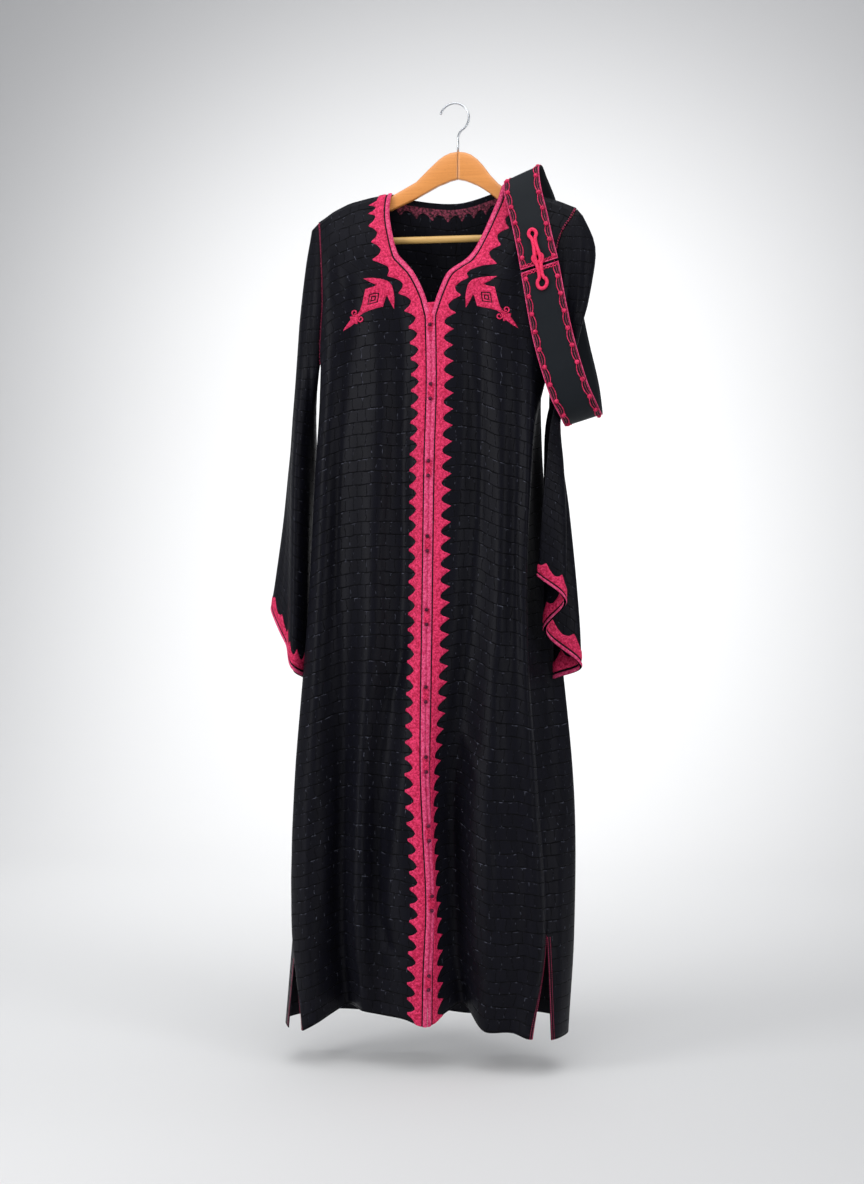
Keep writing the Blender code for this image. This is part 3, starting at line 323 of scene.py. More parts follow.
def body_row(share):
    """The points that shape one row of the front left, the back and the front right."""
    left = [edge_point(NECK_LEFT, share)]
    left += [fold_point(f, share, SHOULDER_LEFT, -1) for f in FRONT_LEFT_FOLDS]
    left.append(side_point(SIDE_LEFT, HEM_LEFT_FRONT, UNDERARM_LEFT, share, -1))
    right = [edge_point(NECK_RIGHT, share)]
    right += [fold_point(f, share, SHOULDER_RIGHT, -1) for f in FRONT_RIGHT_FOLDS]
    right.append(side_point(SIDE_RIGHT, HEM_RIGHT_FRONT, UNDERARM_RIGHT, share, -1))
    back = [side_point(SIDE_LEFT, HEM_LEFT_BACK, UNDERARM_LEFT, share, 1)]
    for number, fold in enumerate(BACK_FOLDS, 1):
        neck_top = None
        if number in BACK_NECK:
            corner_z = SHOULDER_LEFT[0][1] if number < 5 else SHOULDER_RIGHT[0][1]
            neck_top = (BACK_NECK[number], BACK_NECK_Z.get(number, corner_z))
        shoulder = SHOULDER_LEFT if fold[0] < 0 else SHOULDER_RIGHT
        back.append(fold_point(fold, share, shoulder, 1, neck_top))
    back.append(side_point(SIDE_RIGHT, HEM_RIGHT_BACK, UNDERARM_RIGHT, share, 1))
    return left, back, right


def run_along(line, least=0.0):
    """Distance along a line at each of its points, with every step counted as least or more."""
    steps = np.linalg.norm(np.diff(line, axis=0), axis=1)
    return np.concatenate(((0,), np.cumsum(np.maximum(steps, least))))


def curve_through(points, before, after):
    """Fine line through points, its ends in line with the neighbours' points, and the points' places."""
    chain = np.array([before] + list(points) + [after])
    runs = run_along(chain, 0.5)
    fine = [smooth(runs, chain, runs[i] + (runs[i + 1] - runs[i]) * k / CURVE_CUTS)
            for i in range(1, len(chain) - 2) for k in range(CURVE_CUTS)]
    fine.append(chain[-2])
    return np.array(fine), [i * CURVE_CUTS for i in range(len(points))]


def along(fine, distances):
    """Points at the given distances along a fine line."""
    run = run_along(fine)
    return np.array([np.interp(distances, run, fine[:, k]) for k in range(3)]).T


def unit(ways, least=0.001):
    """Ways turned to a length of 1, along the last axis."""
    return ways / np.maximum(np.linalg.norm(ways, axis=-1, keepdims=True), least)


def quads(rows, columns, around=False):
    """Faces over points in rows. With around, each row's last point joins its first."""
    return [(r * columns + c, (r + 1) * columns + c, (r + 1) * columns + (c + 1) % columns,
             r * columns + (c + 1) % columns)
            for r in range(rows - 1) for c in range(columns if around else columns - 1)]


class Cloth:
    """A fine grid over one cut piece, with the way out of the cloth and the place on the flat cut.

    Rows and columns are counted as on the solid, which has one for every row_cuts or column_cuts here.
    """

    def __init__(self, grid, flat, turn, row_cuts, column_cuts):
        self.grid = np.array(grid)
        self.flat = np.array(flat)
        self.turn = turn
        self.cuts = (row_cuts, column_cuts)
        self.face_out()

    def face_out(self):
        """Work out the way out of the cloth at each point, also where the grid closes into a tube."""
        across = unit(np.diff(self.grid, axis=1))
        down = unit(np.diff(self.grid, axis=0))
        closed = np.linalg.norm(self.grid[:, 0] - self.grid[:, -1], axis=1) < 0.001
        before = np.concatenate((across[:, :1], across), axis=1)
        after = np.concatenate((across, across[:, -1:]), axis=1)
        before[closed, 0] = across[closed, -1]
        after[closed, -1] = across[closed, 0]
        above = np.concatenate((down[:1], down), axis=0)
        below = np.concatenate((down, down[-1:]), axis=0)
        self.out = unit(np.cross(before + after, above + below) * self.turn)

    def at(self, row, column, lift=0.0):
        """Points at rows and columns, moved out by lift. All three may be arrays."""
        row, column, lift = np.broadcast_arrays(*[np.asarray(v, float) for v in (row, column, lift)])
        rows, columns = self.grid.shape[:2]
        r = np.clip(row * self.cuts[0], 0, rows - 1.0001)
        c = np.clip(column * self.cuts[1], 0, columns - 1.0001)
        i, j = r.astype(int), c.astype(int)
        dr, dc = (r - i)[..., None], (c - j)[..., None]
        spot, out = [source[i, j] * (1 - dr) * (1 - dc) + source[i + 1, j] * dr * (1 - dc)
                     + source[i, j + 1] * (1 - dr) * dc + source[i + 1, j + 1] * dr * dc
                     for source in (self.grid, self.out)]
        return spot + unit(out) * lift[..., None]

    def crease(self, path, width, height):
        """Press a soft ridge, or a trough with a height below 0, along a path of x and z."""
        spots = self.grid[:, :, [0, 2]]
        path = np.array(path, float)
        starts = run_along(path)
        nearest = np.full(spots.shape[:2], 1e9)
        share = np.zeros(spots.shape[:2])
        for a, b, start in zip(path, path[1:], starts):
            length = np.linalg.norm(b - a)
            t = np.clip(((spots - a) @ (b - a)) / length ** 2, 0, 1)
            gap = np.linalg.norm(spots - a - t[..., None] * (b - a), axis=2)
            closer = gap < nearest
            nearest[closer] = gap[closer]
            share[closer] = ((start + t * length) / starts[-1])[closer]
        fade = np.clip(np.sin(math.pi * share), 0, 1) ** 0.7
        moved = height * np.exp(-(nearest / width) ** 2) * fade
        self.grid = self.grid + self.out * moved[..., None]

    def drape(self, height, seed):
        """Uneven shallow waves down the whole cloth, as its own weight leaves."""
        u, v = self.flat[:, :, 0], self.flat[:, :, 1]
        wave = np.zeros(u.shape)
        for k in range(1, 5):
            wander = 0.02 * np.sin(v * (2.1 + 0.7 * k) + seed * k)
            wave += np.sin((u + wander) * (48 * k + 17 * math.sin(seed + k)) + seed * 2 * k) / k
        wave *= 0.6 + 0.4 * np.sin(v * 5.3 + seed + u * 9)
        self.grid = self.grid + self.out * (wave * height)[..., None]

    def faces(self):
        """The grid's quads, turned so that they face out."""
        return [quad if self.turn < 0 else quad[::-1] for quad in quads(*self.grid.shape[:2])]

    def make(self, name, finish, slot, node, thickness=CLOTH_THICKNESS):
        """The cloth as a smooth piece with a wall under the grid, closed where the grid meets itself."""
        self.face_out()
        piece = surface(name, self.grid.reshape(-1, 3), self.faces(), finish, node,
                        self.flat.reshape(-1, 2))
        shape = bmesh.new()
        shape.from_mesh(piece.data)
        bmesh.ops.remove_doubles(shape, verts=shape.verts, dist=0.01 * MM)
        shape.to_mesh(piece.data)
        shape.free()
        wall = piece.modifiers.new("wall", "SOLIDIFY")
        wall.thickness = thickness * MM
        wall.offset = -1


def surface(name, points, faces, finish, node=None, flat=None):
    """A smooth mesh piece from points in millimetres that rides with the robe."""
    mesh = bpy.data.meshes.new(name)
    mesh.from_pydata(np.asarray(points) * MM, [], faces)
    mesh.polygons.foreach_set("use_smooth", [True] * len(mesh.polygons))
    if flat is not None:
        layer = mesh.uv_layers.new(name="UVMap")
        corners = np.empty(len(mesh.loops), int)
        mesh.loops.foreach_get("vertex_index", corners)
        layer.data.foreach_set("uv", np.asarray(flat)[corners].ravel())
    mesh.materials.append(finish)
    piece = bpy.data.objects.new(name, mesh)
    bpy.context.scene.collection.objects.link(piece)
    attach(piece, "root")
    if node:
        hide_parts(node)
    return piece


# Shares of the way down at which the rows lie: the trim's, those beside the V, and those under it
SHARES = [step / (NECK_LEFT[0][2] - CENTRE[-1][2]) for step in TRIM_STEPS]
SHARES += list(np.linspace(SHARES[-1], V_SHARE, NECK_ROWS + 1)[1:])
SHARES += list(np.linspace(V_SHARE, 1, BODY_ROWS + 1)[1:])
fine_shares = fine_steps(SHARES, ROW_CUTS)


def front_panel(rows, neck, turn):
    """A front panel: columns at the trim's steps from the edge, then even ones to the side seam."""
    grid, flat = [], []
    for number, (points, before, after) in enumerate(rows):
        row = number / ROW_CUTS
        share = fine_shares[number]
        fine, _ = curve_through(points, before, after)
        slant = 1.0
        neck_part = min(max(V_ROW + 1 - row, 0.0), 1.0)
        if row <= V_ROW:
            a = edge_point(neck, max(share - SLANT_STEP, 0))
            b = edge_point(neck, min(share + SLANT_STEP, V_SHARE))
            slant = min(float(np.linalg.norm((b - a)[[0, 2]])) / abs(b[2] - a[2]), MOST_SLANT)
        steps = np.array(TRIM_STEPS) + (np.array(NECK_TRIM_STEPS) - np.array(TRIM_STEPS)) * neck_part
        start = CENTRE_GAP * min(max(row - V_ROW + 1, 0.0), 1.0)
        ends = list(start + steps * slant)
        ends += list(np.linspace(ends[-1], run_along(fine)[-1] - SEAM_GAP, PLAIN_COLUMNS + 1)[1:])
        distances = fine_steps(ends, COLUMN_CUTS)
        grid.append(along(fine, distances))
        flat.append([(d * MM, -share * ROBE_LENGTH) for d in distances])
    return Cloth(grid, flat, turn, ROW_CUTS, COLUMN_CUTS)


def back_panel(rows):
    """The back: so many columns between one fold and the next."""
    grid, flat = [], []
    for number, (points, before, after) in enumerate(rows):
        fine, stops = curve_through(points, before, after)
        run = run_along(fine)
        ends = [SEAM_GAP]
        for cells, a, b in zip(BACK_CELLS, stops, stops[1:]):
            ends += list(np.linspace(run[a], run[b], cells + 1)[1:])
        ends[-1] -= SEAM_GAP
        distances = fine_steps(ends, COLUMN_CUTS)
        middle = run[stops[len(BACK_FOLDS) // 2 + 1]]
        grid.append(along(fine, distances))
        flat.append([((d - middle) * MM, -fine_shares[number] * ROBE_LENGTH) for d in distances])
    return Cloth(grid, flat, 1, ROW_CUTS, COLUMN_CUTS)


left_rows, back_rows, right_rows = [], [], []
for share in fine_shares:
    left, back, right = body_row(share)
    joined = share >= V_SHARE
    left_rows.append((left, right[1] if joined else 2 * left[0] - left[1], back[1]))
    right_rows.append((right, left[1] if joined else 2 * right[0] - right[1], back[-2]))
    back_rows.append((back, left[-2], right[-2]))
left_cloth = front_panel(left_rows, NECK_LEFT, 1)
back_cloth = back_panel(back_rows)
right_cloth = front_panel(right_rows, NECK_RIGHT, -1)

# Creases, given as x, z paths seen from in front, with half width and height
for path, width, height in (
        (((-78, -880), (-92, -950), (-108, -1010)), 9, -4.5),
        (((-76, -1085), (-84, -1180), (-100, -1290), (-104, -1368)), 13, 5.0),
        (((-60, -1400), (-84, -1412), (-106, -1392), (-116, -1350)), 9, -4.0),
        (((-124, -1120), (-128, -1240), (-126, -1370)), 10, -5.0),
        (((-70, -1180), (-62, -1290), (-60, -1390)), 7, -3.0),
        (((-150, -1180), (-158, -1300), (-150, -1450)), 16, 4.0),
        (((-196, -420), (-206, -620), (-216, -860), (-226, -1040)), 11, 3.5),
        (((-182, -540), (-190, -700), (-196, -900)), 7, -3.0),
        (((-120, -380), (-112, -520), (-116, -700)), 12, 3.0),
        (((-160, -200), (-172, -300), (-186, -420)), 14, 3.0),
        (((-200, -220), (-190, -300), (-178, -350)), 9, -2.5),
        (((-140, -180), (-128, -240), (-120, -300)), 12, 2.5),
        (((-206, -1120), (-214, -1260), (-212, -1420)), 9, 3.0),
        (((-100, -620), (-108, -760), (-104, -900)), 8, -2.0),
        (((-236, -1080), (-230, -1240), (-238, -1400)), 8, -3.0)):
    left_cloth.crease(path, width, height)
for path, width, height in (
        (((52, -380), (46, -560), (44, -760)), 8, -3.0),
        (((92, -420), (86, -600), (84, -820), (76, -980)), 12, 3.5),
        (((20, -360), (22, -520), (16, -700)), 9, 2.5),
        (((-8, -1100), (-2, -1240), (6, -1420)), 12, -4.0),
        (((40, -1060), (34, -1200), (40, -1340), (28, -1480)), 12, 4.0),
        (((66, -1120), (78, -1260), (70, -1440)), 10, -4.5),
        (((100, -1080), (108, -1240), (98, -1460)), 11, 3.5),
        (((-16, -980), (16, -1040), (50, -1130)), 10, 2.5),
        (((70, -880), (88, -1000), (92, -1120)), 9, -2.5),
        (((112, -640), (114, -800), (120, -960)), 6, 2.5),
        (((118, -220), (124, -300), (120, -400)), 11, 2.5),
        (((92, -180), (84, -250), (60, -300)), 12, 2.0),
        (((124, -1200), (126, -1330), (118, -1480)), 7, -3.0),
        (((18, -1400), (40, -1440), (74, -1430)), 9, -2.5)):
    right_cloth.crease(path, width, height)
for path, width, height in (
        (((-170, -230), (-140, -420), (-150, -700)), 18, 3.0),
        (((-90, -240), (-96, -520), (-110, -900), (-118, -1300)), 14, -5.0),
        (((-30, -260), (-34, -620), (-26, -1040), (-40, -1480)), 18, 5.0),
        (((30, -250), (38, -560), (50, -900)), 12, -3.5),
        (((90, -220), (98, -480), (124, -860), (140, -1250)), 13, 4.5),
        (((-200, -600), (-222, -900), (-240, -1300)), 13, -4.0),
        (((-160, -800), (-184, -1100), (-180, -1450)), 15, 4.5),
        (((60, -900), (64, -1200), (50, -1480)), 14, -4.5),
        (((150, -900), (176, -1160), (170, -1460)), 11, 3.5),
        (((-60, -1000), (-10, -1100), (30, -1180)), 11, -2.5),
        (((150, -240), (134, -360), (136, -500)), 10, 2.5),
        (((-196, -240), (-184, -340), (-190, -460)), 11, 2.5)):
    back_cloth.crease(path, width, height)
for cloth, seed in ((left_cloth, 1.3), (right_cloth, 2.9), (back_cloth, 4.4)):
    cloth.face_out()
    cloth.drape(0.35, seed)
    cloth.face_out()

# Satin jacquard, woven black on black. Sunken dark lines part it into staggered cells about 17 mm
# across and 21 mm down, bits beside the lines carry painted highlights, and the threads run lengthways.
CELL_WIDTH = 0.0175
CELL_HEIGHT = 0.0212


def jacquard(name, colour, painted_glint_colour):
    """Woven satin with staggered cells, colour on the ground and a painted highlight colour on bits beside
    the lines.
    """
    made, tree, shader = finish_named(name, colour, 0.44)
    flat = add_node(tree, "UVMap", uv_map="UVMap").outputs["UV"]
    waver = add_node(tree, "TexNoise", {"Vector": flat, "Scale": 42.0, "Detail": 2.0})
    shift = add_node(tree, "VectorMath", {0: waver.outputs["Color"], 1: (0.5, 0.5, 0.5)},
                     operation="SUBTRACT")
    sway = add_node(tree, "VectorMath", {0: shift.outputs[0], 1: (0.011, 0.0075, 0)}, operation="MULTIPLY")
    place = add_node(tree, "VectorMath", {0: flat, 1: sway.outputs[0]}, operation="ADD").outputs[0]
    cells = add_node(tree, "TexBrick", {
        "Vector": place, "Scale": 1.0, "Brick Width": CELL_WIDTH, "Row Height": CELL_HEIGHT,
        "Mortar Size": 0.0007, "Mortar Smooth": 0.6, "Color1": (1, 1, 1, 1), "Color2": (0.35, 0.35, 0.35, 1),
        "Mortar": (0.5, 0.5, 0.5, 1)}, offset=0.5)
    rows = add_node(tree, "TexBrick", {
        "Vector": place, "Scale": 1.0, "Brick Width": 90.0, "Row Height": CELL_HEIGHT,
        "Mortar Size": 0.0011, "Mortar Smooth": 0.4}, offset=0.0)
    broken = add_node(tree, "TexNoise", {"Vector": flat, "Scale": 75.0, "Detail": 1.0})
    kept = add_node(tree, "MapRange", {"Value": broken.outputs["Fac"], "From Min": 0.36, "From Max": 0.52})
    row_lines = add_node(tree, "Math", {0: rows.outputs["Fac"], 1: kept.outputs[0]}, operation="MULTIPLY")
    side_lines = add_node(tree, "Math", {0: cells.outputs["Fac"], 1: 0.75}, operation="MULTIPLY")
    lines = add_node(tree, "Math", {0: row_lines.outputs[0], 1: side_lines.outputs[0]}, operation="MAXIMUM")
    # Painted highlights: the lines, moved a little up and broken by noise, take a lighter colour where satin
    # would catch the light.
    above = add_node(tree, "VectorMath", {0: place, 1: (0.0004, 0.0019, 0)}, operation="ADD")
    painted_glint_lines = add_node(tree, "TexBrick", {
        "Vector": above.outputs[0], "Scale": 1.0, "Brick Width": CELL_WIDTH, "Row Height": CELL_HEIGHT,
        "Mortar Size": 0.0007, "Mortar Smooth": 0.3}, offset=0.5)
    painted_glint_noise = add_node(tree, "TexNoise", {"Vector": flat, "Scale": 120.0, "Detail": 2.0})
    bright = add_node(tree, "MapRange", {"Value": painted_glint_noise.outputs["Fac"], "From Min": 0.57, "From Max": 0.72})
    painted_glint_mask = add_node(tree, "Math", {0: painted_glint_lines.outputs["Fac"], 1: bright.outputs[0]}, operation="MULTIPLY")
    thread = add_node(tree, "Mapping", {"Vector": flat, "Scale": (2600, 260, 1)})
    grain = add_node(tree, "TexNoise", {"Vector": thread.outputs[0], "Scale": 1.0, "Detail": 2.0})
    tone = add_node(tree, "MapRange", {"Value": cells.outputs["Color"], "From Min": 0.3, "From Max": 1.0,
                                       "To Min": 0.86, "To Max": 1.16})
    grey = add_node(tree, "MapRange", {"Value": grain.outputs["Fac"], "To Min": 0.8, "To Max": 1.2})
    shade = add_node(tree, "Math", {0: tone.outputs[0], 1: grey.outputs[0]}, operation="MULTIPLY")
    ground = add_node(tree, "VectorMath", {0: linear(colour)[:3], "Scale": shade.outputs[0]},
                      operation="SCALE")
    dark = add_node(tree, "Mix", {0: lines.outputs[0], 6: ground.outputs[0], 7: linear("020204")},
                    data_type="RGBA")
    painted_glint_mix = add_node(tree, "Mix", {0: painted_glint_mask.outputs[0], 6: dark.outputs[2], 7: linear(painted_glint_colour)},
                   data_type="RGBA")
    tree.links.new(painted_glint_mix.outputs[2], shader.inputs["Base Color"])
    gloss = add_node(tree, "MapRange", {"Value": lines.outputs[0], "To Min": 0.46, "To Max": 0.75})
    tree.links.new(gloss.outputs[0], shader.inputs["Roughness"])
    depth = add_node(tree, "Math", {0: 1.0, 1: lines.outputs[0]}, operation="SUBTRACT")
    press = add_node(tree, "Bump", {"Height": depth.outputs[0], "Strength": 0.8, "Distance": 0.0008})
    weave = add_node(tree, "Bump", {"Height": grain.outputs["Fac"], "Strength": 0.16, "Distance": 0.0003,
                                    "Normal": press.outputs[0]})
    tree.links.new(weave.outputs[0], shader.inputs["Normal"])
    shader.inputs["Specular IOR Level"].default_value = 0.08
    shader.inputs["Sheen Weight"].default_value = 0.01
    shader.inputs["Sheen Roughness"].default_value = 0.45
    shader.inputs["Sheen Tint"].default_value = linear("AEB2C2")
    return made


# 484A56 is the colour of the painted highlights on the jacquard.
black_jacquard = jacquard("black satin jacquard", "0C0C13", "484A56")
for name, cloth in (("front_left", left_cloth), ("front_right", right_cloth), ("back", back_cloth)):
    cloth.make(name + "_cloth", black_jacquard, "black jacquard", name)

# Embroidery: thick pink silk thread, worked straight on the cloth. It stands about a millimetre
# proud, with short stitches that lie all ways and painted shade darkening the hollows between them.
STITCH = 0.0016


def silk_thread(name, colour, deep, light, stitch=STITCH, mottle=0.55):
    """Silk worked in short stitches, mottled from deep to light."""
    made, tree, shader = finish_named(name, colour, 0.55)
    place = add_node(tree, "NewGeometry").outputs["Position"]
    cells = add_node(tree, "TexVoronoi", {"Vector": place, "Scale": 1 / stitch, "Randomness": 1.0})
    patch = add_node(tree, "TexNoise", {"Vector": place, "Scale": 260.0, "Detail": 3.0})
    spread = add_node(tree, "MapRange", {"Value": patch.outputs["Fac"], "From Min": 0.36, "From Max": 0.64})
    mixed = add_node(tree, "Mix", {0: spread.outputs[0], 6: linear(deep), 7: linear(light)},
                     data_type="RGBA")
    tint = add_node(tree, "Mix", {0: mottle, 6: linear(colour), 7: mixed.outputs[2]}, data_type="RGBA")
    # Painted shade: the hollows between the domed stitches are darkened toward the deep colour.
    painted_hollow_shade = add_node(tree, "MapRange", {"Value": cells.outputs["Distance"], "From Min": 0.5, "From Max": 0.95,
                                       "To Min": 0.0, "To Max": 0.85})
    base = add_node(tree, "Mix", {0: painted_hollow_shade.outputs[0], 6: tint.outputs[2], 7: linear(deep)}, data_type="RGBA")
    tree.links.new(base.outputs[2], shader.inputs["Base Color"])
    domed = add_node(tree, "Math", {0: 1.0, 1: cells.outputs["Distance"]}, operation="SUBTRACT")
    bump = add_node(tree, "Bump", {"Height": domed.outputs[0], "Strength": 0.8, "Distance": 0.0006})
    tree.links.new(bump.outputs[0], shader.inputs["Normal"])
    shader.inputs["Specular IOR Level"].default_value = 0.14
    shader.inputs["Sheen Weight"].default_value = 0.03
    shader.inputs["Sheen Tint"].default_value = linear("FF9DB6")
    return made


pink_silk = silk_thread("pink silk embroidery", "DC1F52", "7A0A2C", "F2487A")
braid_silk = silk_thread("pink silk braid", "DB3A6E", "A81C4A", "EE6C98", 0.0021)
# The wrong side of the stitches inside the neck gets a far darker pink than the silk outside: painted shade.
shaded_inside_silk = silk_thread("back of the pink stitches in painted shade", "4E1F2C", "0B0A0F", "8C3A50", 0.0026, 0.9)
slit_silk = silk_thread("pink sewing thread", "B52A52", "6A1230", "D25A7E", 0.0012)
# Height over the cloth of the band's silk, of the braid's, and of the edges of both
RAISED = 1.3
BRAID_RAISED = 1.5
EDGE_LIFT = 0.06
TOOTH_CUTS = 14
# Where the trim lies, in columns from the front edge: the braid, then the band, its root and its tips
BRAID_START = 0.02
BRAID_WIDTH = 0.84
BAND_START = 1.08
TOOTH_ROOT = 1.9
TOOTH_TIP = 2.96
NECK_TOOTH_TIP = 2.62
# The front bands have no teeth above this row
FIRST_TOOTH = 1.2
# Points worked out for each cell of the cloth along a toothed edge
NECK_CUTS = 15
CUFF_CUTS = 6


def raised(name, edges, rows, cloth, finish, node, height=RAISED, steps=7, across=False):
    """A padded strip between two edges, given as columns at each row, or rows at each column."""
    near, far = np.array(edges, float)
    s = np.linspace(0, 1, steps)
    shape = height * (1 - (2 * s - 1) ** 6) + EDGE_LIFT
    lines = near[:, None] + (far - near)[:, None] * s
    rows = np.repeat(np.array(rows, float)[:, None], steps, axis=1)
    spots = cloth.at(lines, rows, shape) if across else cloth.at(rows, lines, shape)
    faces = [quad if (cloth.turn < 0) != across else quad[::-1] for quad in quads(len(rows), steps)]
    surface(name, spots.reshape(-1, 3), faces, finish, node)


def cord(name, lines, radius, finish, sides=6, node=None, closed=False):
    """Round threads or cords of one thickness along lines of points."""
    points, faces = [], []
    for line in lines:
        line = np.asarray(line, float)
        if closed:
            ahead = np.roll(line, -1, axis=0) - np.roll(line, 1, axis=0)
        else:
            ahead = np.gradient(line, axis=0)
        ahead = unit(ahead, 1e-6)
        beside = np.cross(ahead[0], (0.31, -0.9, 0.3))
        base, count = len(points), len(line)
        for spot, way in zip(line, ahead):
            beside = beside - way * (beside @ way)
            beside /= np.linalg.norm(beside)
            other = np.cross(way, beside)
            for k in range(sides):
                a = 2 * math.pi * k / sides
                points.append(spot + radius * (math.cos(a) * beside + math.sin(a) * other))
        for i in range(count if closed else count - 1):
            here, there = base + i * sides, base + (i + 1) % count * sides
            faces += [(here + k, here + (k + 1) % sides, there + (k + 1) % sides, there + k)
                      for k in range(sides)]
        if not closed:
            faces.append(tuple(base + k for k in range(sides))[::-1])
            faces.append(tuple(base + (count - 1) * sides + k for k in range(sides)))
    surface(name, points, faces, finish, node)


def toothed(rows, root, tip, pitch, phase=0.0):
    """Outer edge of the band: leaf-shaped points with a small bead at each tip."""
    t = (np.asarray(rows) / pitch + phase) % 1.0
    leaf = 1 - np.abs(2 * t - 1)
    return root + (tip - root) * (0.8 * leaf ** 1.35 + 0.2 * np.clip((leaf - 0.55) / 0.3, 0, 1))


for side, cloth in (("left", left_cloth), ("right", right_cloth)):
    last = len(SHARES) - 1
    rows = np.linspace(0, last, last * TOOTH_CUTS + 1)
    level = np.ones(len(rows))
    raised("braid_%s_silk" % side, (level * BRAID_START, level * (BRAID_START + BRAID_WIDTH)), rows, cloth,
           braid_silk, "braid_" + side, BRAID_RAISED)
    pitch = np.where(rows < V_ROW, 1.0, 0.5)
    tips = np.interp(rows, (V_ROW - 2, V_ROW + 1), (NECK_TOOTH_TIP, TOOTH_TIP))
    edge = toothed(rows, TOOTH_ROOT, tips, pitch, 0.0 if side == "left" else 0.5)
    edge[rows < FIRST_TOOTH] = TOOTH_ROOT
    raised("embroidery_%s_silk" % side, (level * BAND_START, edge), rows, cloth, pink_silk,
           "embroidery_" + side, steps=9)

# Edge cords: a thin cord of the braid's own silk, sewn down each front edge, so that the two braids
# meet in the middle
for side, cloth in (("left", left_cloth), ("right", right_cloth)):
    rows = np.linspace(0, len(SHARES) - 1, 260)
    cord("edge_cord_" + side, [cloth.at(rows, 0.0, 0.5)], 0.55, braid_silk, 6)

# Back of the neck: the same braid and toothed band, and the wrong side of their stitches, which shows
# inside, its pink darkened as painted shade
BACK_TOOTH_TIP = 2.9
INSIDE_GAP = 0.15
INSIDE_START = 1.12
INSIDE_ROOT = 1.75
INSIDE_TIP = 2.5
INSIDE_RAISED = 0.5
first = sum(BACK_CELLS[:3])
neck_cells = sum(BACK_CELLS[3:7])
neck_columns = np.linspace(first, first + neck_cells, neck_cells * NECK_CUTS + 1)
level = np.ones(len(neck_columns))
raised("braid_back_neck_silk", (level * BRAID_START, level * (BRAID_START + BRAID_WIDTH)), neck_columns,
       back_cloth, braid_silk, "braid_back_neck", BRAID_RAISED, across=True)
edge = toothed(neck_columns, TOOTH_ROOT, BACK_TOOTH_TIP, 1.0)
raised("embroidery_back_neck_silk", (level * BAND_START, edge), neck_columns, back_cloth, pink_silk,
       "embroidery_back_neck", across=True)
inner = Cloth(back_cloth.grid - back_cloth.out * (CLOTH_THICKNESS + INSIDE_GAP), back_cloth.flat, -1,
              *back_cloth.cuts)
inner.out = -back_cloth.out
edge = toothed(neck_columns, INSIDE_ROOT, INSIDE_TIP, 1.0)
raised("stitches_back_neck_inside", (level * INSIDE_START, edge), neck_columns, inner, shaded_inside_silk,
       None, INSIDE_RAISED, across=True)


# Sleeves: long and wide, set into the armholes with a rounded head. Each hangs as a flattened tube
# that doubles to and fro, and its cuff is cut on a slant. The same jacquard, cut lengthways.

# A row for each height: x, y of the top line, of three bends and of the underarm line, then thickness
SLEEVE_LEFT = (
    (-192, (-240, 0), (-237, 0), (-235, 0), (-233, 0), (-230, 0), 0),
    (-260, (-252, 4), (-241, 3), (-236, 2), (-231, 1), (-221, 0), 4),
    (-340, (-264, 16), (-249, 9), (-242, 6), (-234, 3), (-218, 0), 12),
    (-432, (-275, 36), (-262, 18), (-253, 11), (-244, 7), (-229, 2), 15),
    (-500, (-281, 46), (-272, 17), (-260, 2), (-248, 8), (-240, 26), 10),
    (-600, (-292, 52), (-276, 4), (-263, -22), (-247, 4), (-244, 50), 10),
    (-700, (-303, 54), (-280, 5), (-265, -24), (-249, 4), (-254, 82), 8),
    (-850, (-328, 57), (-284, 6), (-268, -22), (-253, 6), (-263, 92), 8),
    (-985, (-350, 58), (-287, 6), (-272, -20), (-255.5, 8), (-268, 98), 8),
)
SLEEVE_RIGHT = (
    (-181, (208, 0), (207, 0), (206, 0), (205, 0), (204, 0), 0),
    (-240, (233, 0), (217, 0), (203, 0), (186, 0), (175, 0), 4),
    (-300, (229, -6), (214, -3), (198, -1), (179, 0), (166, 0), 12),
    (-370, (214, -18), (205, -8), (193, -2), (176, 1), (164, 0), 20),
    (-410, (203, -24), (197, -9), (187, -1), (176, 2), (166, 0), 16),
    (-470, (181, -31), (185, -12), (172, 2), (166, 13), (157, 20), 11),
    (-530, (164, -36), (175, -11), (154, 7), (167, 31), (154, 46), 8),
    (-600, (156, -34), (180, -8), (150, 14), (176, 44), (157, 66), 8),
    (-680, (148, -30), (184, -6), (150, 17), (187, 46), (160, 70), 8),
    (-850, (134, -16), (184, -3), (149, 21), (203, 45), (160, 70), 8),
    (-958, (126, -14), (184, -2), (147, 23), (208, 44), (160, 66), 8),
)
# The share of a sleeve's width at each bend, and how far down the cuff's slant it lies
SLEEVE_BENDS_LEFT = (0, 0.36, 0.5, 0.64, 1)
CUFF_DROPS_LEFT = (0, 0.44, 0.7, 0.81, 1)
SLEEVE_BENDS_RIGHT = (0, 0.26, 0.5, 0.8, 1)
CUFF_DROPS_RIGHT = (0, 0.24, 0.53, 0.87, 1)
CUFF_LEFT = (-837, -985)
CUFF_RIGHT = (-785, -958)
PINCH = 0.4
SLEEVE_CELLS = 4
SLEEVE_CUTS = 3
SLEEVE_ROWS = 8
SLEEVE_HEAD = (0, 0.05, 0.15, 0.34, 0.56, 0.78)
CUFF_STEPS = (0, 6, 9, 24, 38)
SLEEVE_THICKNESS = 0.7


def armhole_point(panel, column, z):
    """Point just off a panel's armhole edge, at height z."""
    edge = panel[:, column]
    beside = panel[:, column + 1 if column == 0 else column - 1]
    spot, inner = [np.array([np.interp(-z, -edge[:, 2], line[:, k]) for k in range(3)])
                   for line in (edge, beside)]
    return spot + unit(spot - inner) * SEAM_GAP * 2


